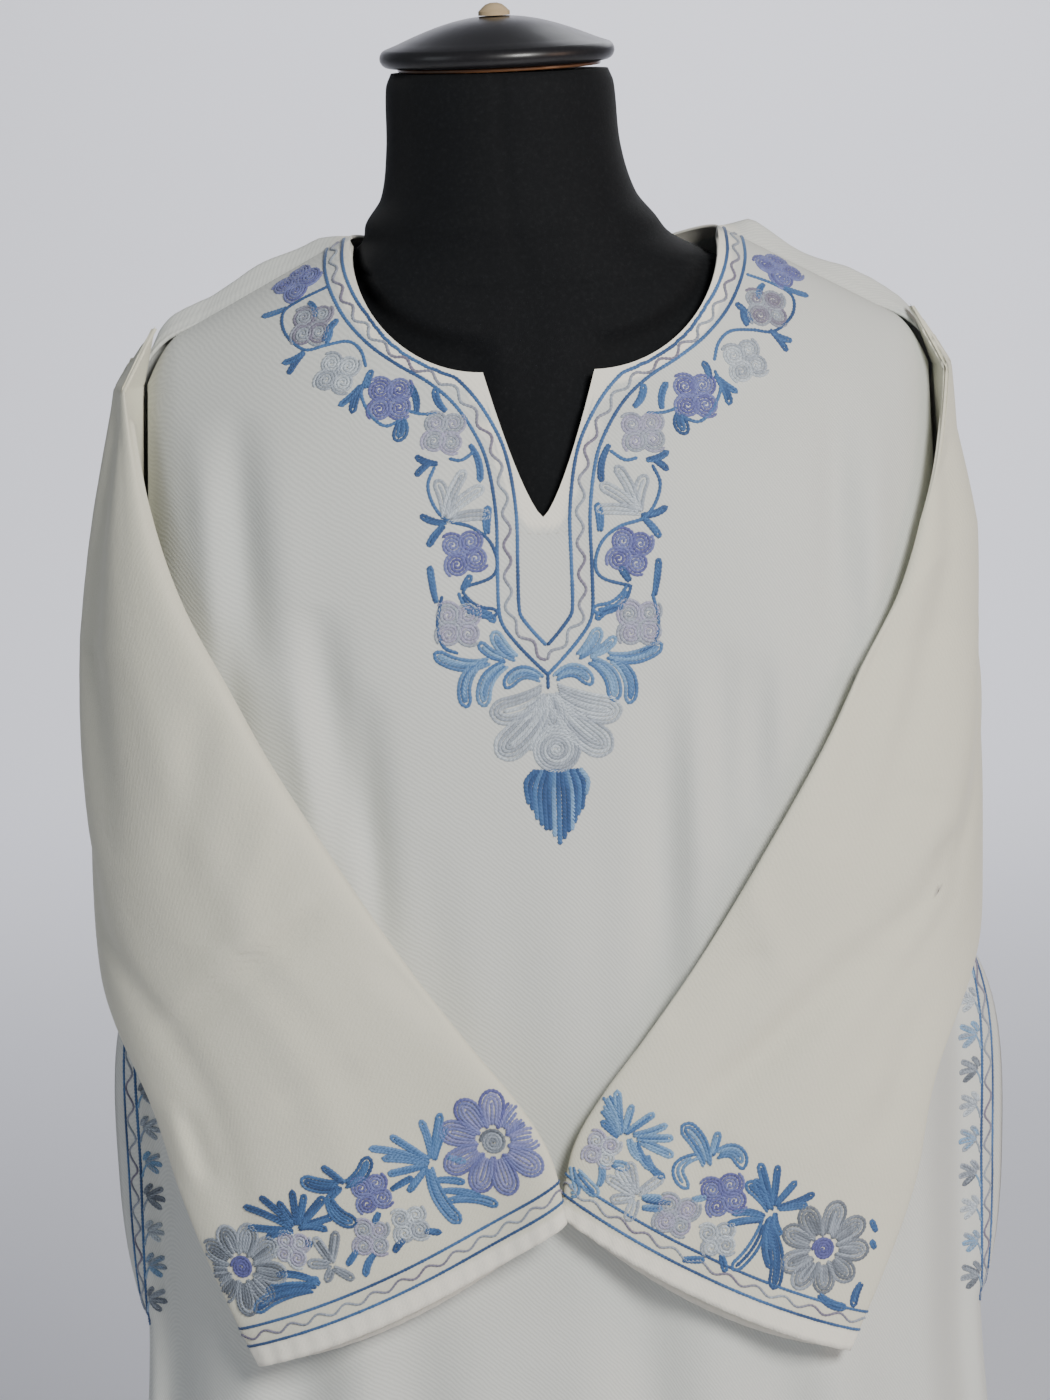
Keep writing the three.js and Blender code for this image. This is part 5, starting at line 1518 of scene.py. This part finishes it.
# dress form
form = {
    # height, half width, front, back, shift
    "sections": np.array([
        (86, 62, 57, 56, -4), (78, 65, 60, 58, -4), (43, 67, 62, 59, -3), (16, 73, 66, 60, -1),
        (2, 83, 69, 60, 0), (-9, 89, 69, 60, 3), (-20, 107, 70, 61, 6), (-34, 133, 72, 63, 7),
        (-52, 158, 78, 70, 6), (-78, 178, 86, 79, 4), (-110, 190, 99, 87, 2), (-145, 187, 111, 91, 0),
        (-185, 178, 120, 92, 0), (-240, 165, 123, 90, 0),
        (-310, 146, 108, 82, 0), (-400, 124, 88, 76, 0), (-480, 134, 90, 84, 0), (-570, 160, 100, 93, 0),
        (-650, 171, 103, 96, 0), (-705, 165, 98, 90, 0), (-716, 155, 90, 82, 0)], float),
    "clear": 5.0, "squareness": 2.2, "around": 144, "seamDepth": 1.1, "seamWidth": 1.6, "neckSeam": -34.0,
    # the cloth starts to press on the form this far above its edge, and does so fully this far down
    "wornFrom": 22.0, "wornOver": 16.0,
}
formColumn = {"half": 1, "front": 2, "back": 3, "shift": 4}


def makeForm():
    # squared ellipses up the body, held inside the cloth that hangs on them, with shallow sewn seams
    f = form
    top, foot = f["sections"][0, 0], f["sections"][-1, 0]
    z = np.concatenate([np.linspace(top, -60, 70), np.linspace(-66, foot + 12, 70),
                        foot + 12 - 12 * np.linspace(0.15, 1, 8)])[:, None]
    turn = (2 * np.pi * np.arange(f["around"]) / f["around"])[None, :]
    power = 2 / f["squareness"]
    size = {key: smoothColumn(f["sections"], column, z) for key, column in formColumn.items()}
    wide = size["half"] * signedPower(np.cos(turn), power)
    under = -garment["neckPointDrop"] - garment["wall"] - f["clear"] - z
    reach = garment["neckHalf"] + np.maximum(0, under) / garment["shoulderSlope"]
    x = np.clip(wide, garment["shift"] - size["shift"] - reach, garment["shift"] - size["shift"] + reach)
    behind = np.sin(turn) > 0
    fromMiddle = size["shift"] + x - garment["shift"]
    wanted = np.where(behind, size["back"], size["front"]) * np.abs(np.sin(turn)) ** power
    depth = wanted.copy()
    for face, mask in (("front", ~behind), ("back", behind)):
        inNeck = np.abs(fromMiddle) < garment["neckHalf"]
        edge = np.where(inNeck, neckline(face, fromMiddle), shoulderLine(fromMiddle))
        worn = np.clip((edge + f["wornFrom"] - z) / f["wornOver"], 0, 1) * mask
        room = np.min([drapeDepth(face, fromMiddle + dx, z + dz) for dx in (-7, 0, 7) for dz in (0, 7)], axis=0)
        room = room - garment["wall"] - f["clear"] + np.minimum(0, foldPush(hungFolds[face], fromMiddle, z) - 1)
        depth = mix(depth, np.minimum(wanted, np.maximum(room, 0.5)), ease(worn))
    # seams: the middle of the front and back, the sides, and the base of the neck
    upright = np.exp(-((np.abs((turn / (np.pi / 2) + 0.5) % 1 - 0.5) * 60) ** 2))
    seam = upright + np.exp(-((z - f["neckSeam"] - 10 * (x / 90) ** 2) / f["seamWidth"]) ** 2)
    pull = 1 - f["seamDepth"] * np.clip(seam, 0, 1) / 70
    y = np.where(behind, depth, -depth)
    points = np.stack([size["shift"] + x * pull, y * pull, np.broadcast_to(z, x.shape)], axis=-1)
    quads, ends = tubeFaces(*points.shape[:2])
    quads, ends = np.roll(quads[:, ::-1], 1, axis=1), ends[:, [0, 2, 1]]  # the rings run down, so the faces turn over
    points = np.concatenate([points.reshape(-1, 3), [[-4, 0, top]], [[0, 0, foot]]])
    piece = newPiece("formCover", points, quads, jersey, triangles=ends, shift=(0.0, 0.0, garment["neckPoint"]))
    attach(piece, "root")
    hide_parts("form_torso")


makeForm()
print("form made")


# turned and painted pieces
def turned(name, profile, material, node, slot, centre=(0.0, 0.0, 0.0), tilt=(0.0, 0.0), around=128, sharp=35):
    # a profile of radius and height spun about Z, then tilted in degrees and moved, with its two poles closed
    profile = np.asarray(profile, float)
    turn = (2 * np.pi * np.arange(around) / around)[None, :]
    r, z = profile[1:-1, :1], profile[1:-1, 1:]
    grid = np.stack([r * np.cos(turn), r * np.sin(turn), np.broadcast_to(z, (len(r), around))], axis=-1)
    points = np.concatenate([grid.reshape(-1, 3), [[0, 0, profile[0, 1]]], [[0, 0, profile[-1, 1]]]])
    a, b = np.radians(tilt)
    spinX = np.array([[1, 0, 0], [0, np.cos(a), -np.sin(a)], [0, np.sin(a), np.cos(a)]])
    spinY = np.array([[np.cos(b), 0, np.sin(b)], [0, 1, 0], [-np.sin(b), 0, np.cos(b)]])
    points = points @ (spinX @ spinY).T + np.array(centre)
    quads, ends = tubeFaces(len(r), around)
    piece = newPiece(name, points, quads, material, triangles=ends, shift=(0.0, 0.0, 0.0), sharp=sharp)
    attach(piece, "root")
    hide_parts(node)


solidGap = 0.3
# radius and height of each turned profile
top = {
    "capRadius": 67.0, "rim": 11.0, "capHeight": 27.0, "tilt": (1.0, -0.9), "plateHeight": 2.0,
    "plateZ": garment["neckPoint"] + form["sections"][0, 0] + 1.7,
    "plate": [(0, 0), (57.4, 0), (58, 0.5), (58, 1.5), (57.4, 2), (0, 2)],
    "stub": [(0, 0), (9, 0), (9, 2.2), (7.6, 3.6), (6.6, 4.6), (4.6, 6.2), (2, 7), (0, 7)],
}
# the cap: a flat foot, a rim that turns through 150 degrees, and a dome that rises as a sine
rimHalf = top["rim"] / 2
rimMiddle = top["capRadius"] - rimHalf
rimTurn = np.radians(-90 + 150 * np.linspace(0, 1, 24))[1:]
crownShare = np.linspace(0, 1, 30)[2:]
crown = mix(top["rim"], top["capHeight"], np.sin(crownShare * np.pi / 2))
capProfile = np.concatenate([
    [(0, 0), (rimMiddle - 3, 0)],
    np.stack([rimMiddle + rimHalf * np.cos(rimTurn), rimHalf + rimHalf * np.sin(rimTurn)], -1),
    np.stack([mix(rimMiddle, 3.0, crownShare), crown], -1),
    [(0, top["capHeight"])]])
capZ = top["plateZ"] + top["plateHeight"] + solidGap
stubZ = capZ + top["capHeight"] + solidGap
turned("neckPlate", top["plate"], varnished, "neck_plate", "varnished_wood", (-4, 0, top["plateZ"]), top["tilt"])
turned("neckCap", capProfile, lacquer, "neck_cap", "black_lacquer", (-5, 0, capZ), top["tilt"], sharp=60)
turned("capStub", top["stub"], rawWood, "cap_stub", "raw_wood", (-6, -2, stubZ), top["tilt"], around=40)

stand = {"poleRadius": 14.0, "baseRadius": 170.0, "baseHeight": 26.0, "rimHeight": 12.0, "hubRadius": 30.0,
         "hubHeight": 46.0}
domeShare = np.linspace(0, 1, 30)
dome = mix(stand["rimHeight"], stand["baseHeight"], np.sin(domeShare * np.pi / 2))
baseProfile = np.concatenate([
    [(0, 0), (166, 0), (168.4, 0.6), (169.7, 1.8), (stand["baseRadius"], 3.2)],
    np.stack([mix(stand["baseRadius"], stand["hubRadius"] + 6, domeShare), dome], -1),
    [(32, 27), (30.4, 29), (stand["hubRadius"], 31), (stand["hubRadius"], 43.6), (29.2, 45.3),
     (27.6, stand["hubHeight"]), (0, stand["hubHeight"])]])
poleTop = garment["neckPoint"] + form["sections"][-1, 0] - solidGap
poleFoot = stand["hubHeight"] + solidGap
poleRings = [(stand["poleRadius"], z) for z in (poleFoot, 60, 200, 400, 600, poleTop)]
poleProfile = [(0, poleFoot)] + poleRings + [(0, poleTop)]
turned("standPole", poleProfile, steel, "stand_pole", "black_steel", around=64)
turned("standBase", baseProfile, steel, "stand_base", "black_steel", around=160)
print("stand made")

# studio
studio = {
    "focal": 107.2, "eye": (0.0, -2.4, 1.545), "pitch": 10.0, "roll": 1.7, "air": 0.2,
    # in metres: width, where it starts, the flat part, the bend and the upright part
    "paper": {"wide": 26.0, "from": -2.2, "flat": 7.6, "bend": 2.4, "tall": 6.0},
    # place, aim, size, power, colour
    "lights": {
        "windowLight": ((-2.5, -1.3, 2.3), (0, 0, 1.15), (1.4, 1.6), 8, (0.88, 0.95, 1.0)),
        "frontLight": ((1.15, -2.5, 2.5), (0.03, 0, 1.1), (0.8, 0.8), 93, (1.0, 0.985, 0.945)),
        "lampLight": ((2.4, -1.3, 1.9), (0, 0, 1.1), (0.9, 1.2), 9, (1.0, 0.62, 0.42)),
        "backLight": ((1.2, 2.4, 2.8), (0, 0, 1.2), (1.6, 1.6), 16, (0.95, 0.97, 1.0)),
        "wallLight": ((0.6, 4.9, 4.2), (0.3, 7.6, 1.6), (4.0, 1.2), 225, (0.97, 0.97, 1.0)),
    },
}


def makeFloor():
    # a wide sheet of paper that curves up behind: flat, then a quarter circle, then upright
    p = studio["paper"]
    run = np.linspace(0, 1, 60) * (p["flat"] + p["bend"] * np.pi / 2 + p["tall"])
    bend = np.clip((run - p["flat"]) / p["bend"], 0, np.pi / 2)
    y = p["from"] + np.minimum(run, p["flat"]) + p["bend"] * np.sin(bend)
    z = p["bend"] * (1 - np.cos(bend)) + np.maximum(0, run - p["flat"] - p["bend"] * np.pi / 2)
    x = np.linspace(-p["wide"] / 2, p["wide"] / 2, 12)
    grid = np.stack(np.broadcast_arrays(x[None, :], y[:, None], z[:, None]), axis=-1)
    i, j = np.meshgrid(np.arange(59), np.arange(11), indexing="ij")
    quads = np.stack([i * 12 + j, i * 12 + j + 1, (i + 1) * 12 + j + 1, (i + 1) * 12 + j], -1).reshape(-1, 4)
    material, tree, shader, place = newMaterial("palePaper")
    tone = noise(tree, place, 0.6, 2.0)
    paper = blendColour(tree, "MIX", tone, (0.80, 0.81, 0.87, 1), (0.86, 0.86, 0.91, 1))
    tree.links.new(paper, shader.inputs["Base Color"])
    shader.inputs["Roughness"].default_value = 0.95
    floor = newPiece("paperFloor", grid.reshape(-1, 3) * 1000, quads, material, shift=(0.0, 0.0, 0.0))


makeFloor()


def softLight(name, place, aim, size, power, colour):
    # a rectangle of light that faces its aim
    lamp = bpy.data.lights.new(name, "AREA")
    lamp.shape = "RECTANGLE"
    lamp.size, lamp.size_y = size
    lamp.energy = power
    lamp.color = colour
    thing = bpy.data.objects.new(name, lamp)
    thing.location = place
    way = np.array(aim, float) - np.array(place, float)
    tilt, heading = np.arctan2(np.hypot(way[0], way[1]), -way[2]), np.arctan2(way[1], way[0])
    thing.rotation_euler = (tilt, 0, heading - np.pi / 2)
    bpy.context.scene.collection.objects.link(thing)


for name, settings in studio["lights"].items():
    softLight(name, *settings)
world = bpy.data.worlds.new("studioAir")
world.use_nodes = True
background = world.node_tree.nodes["Background"]
background.inputs["Color"].default_value = (0.80, 0.84, 0.90, 1)
background.inputs["Strength"].default_value = studio["air"]
bpy.context.scene.world = world

lens = bpy.data.cameras.new("studioCamera")
lens.lens = studio["focal"]
lens.clip_end = 50
camera = bpy.data.objects.new("studioCamera", lens)
bpy.context.scene.collection.objects.link(camera)
bpy.context.scene.camera = camera
camera.matrix_world = (Matrix.Translation(studio["eye"]) @ Matrix.Rotation(np.radians(90 - studio["pitch"]), 4, "X")
                       @ Matrix.Rotation(np.radians(-studio["roll"]), 4, "Z"))
print("studio made")
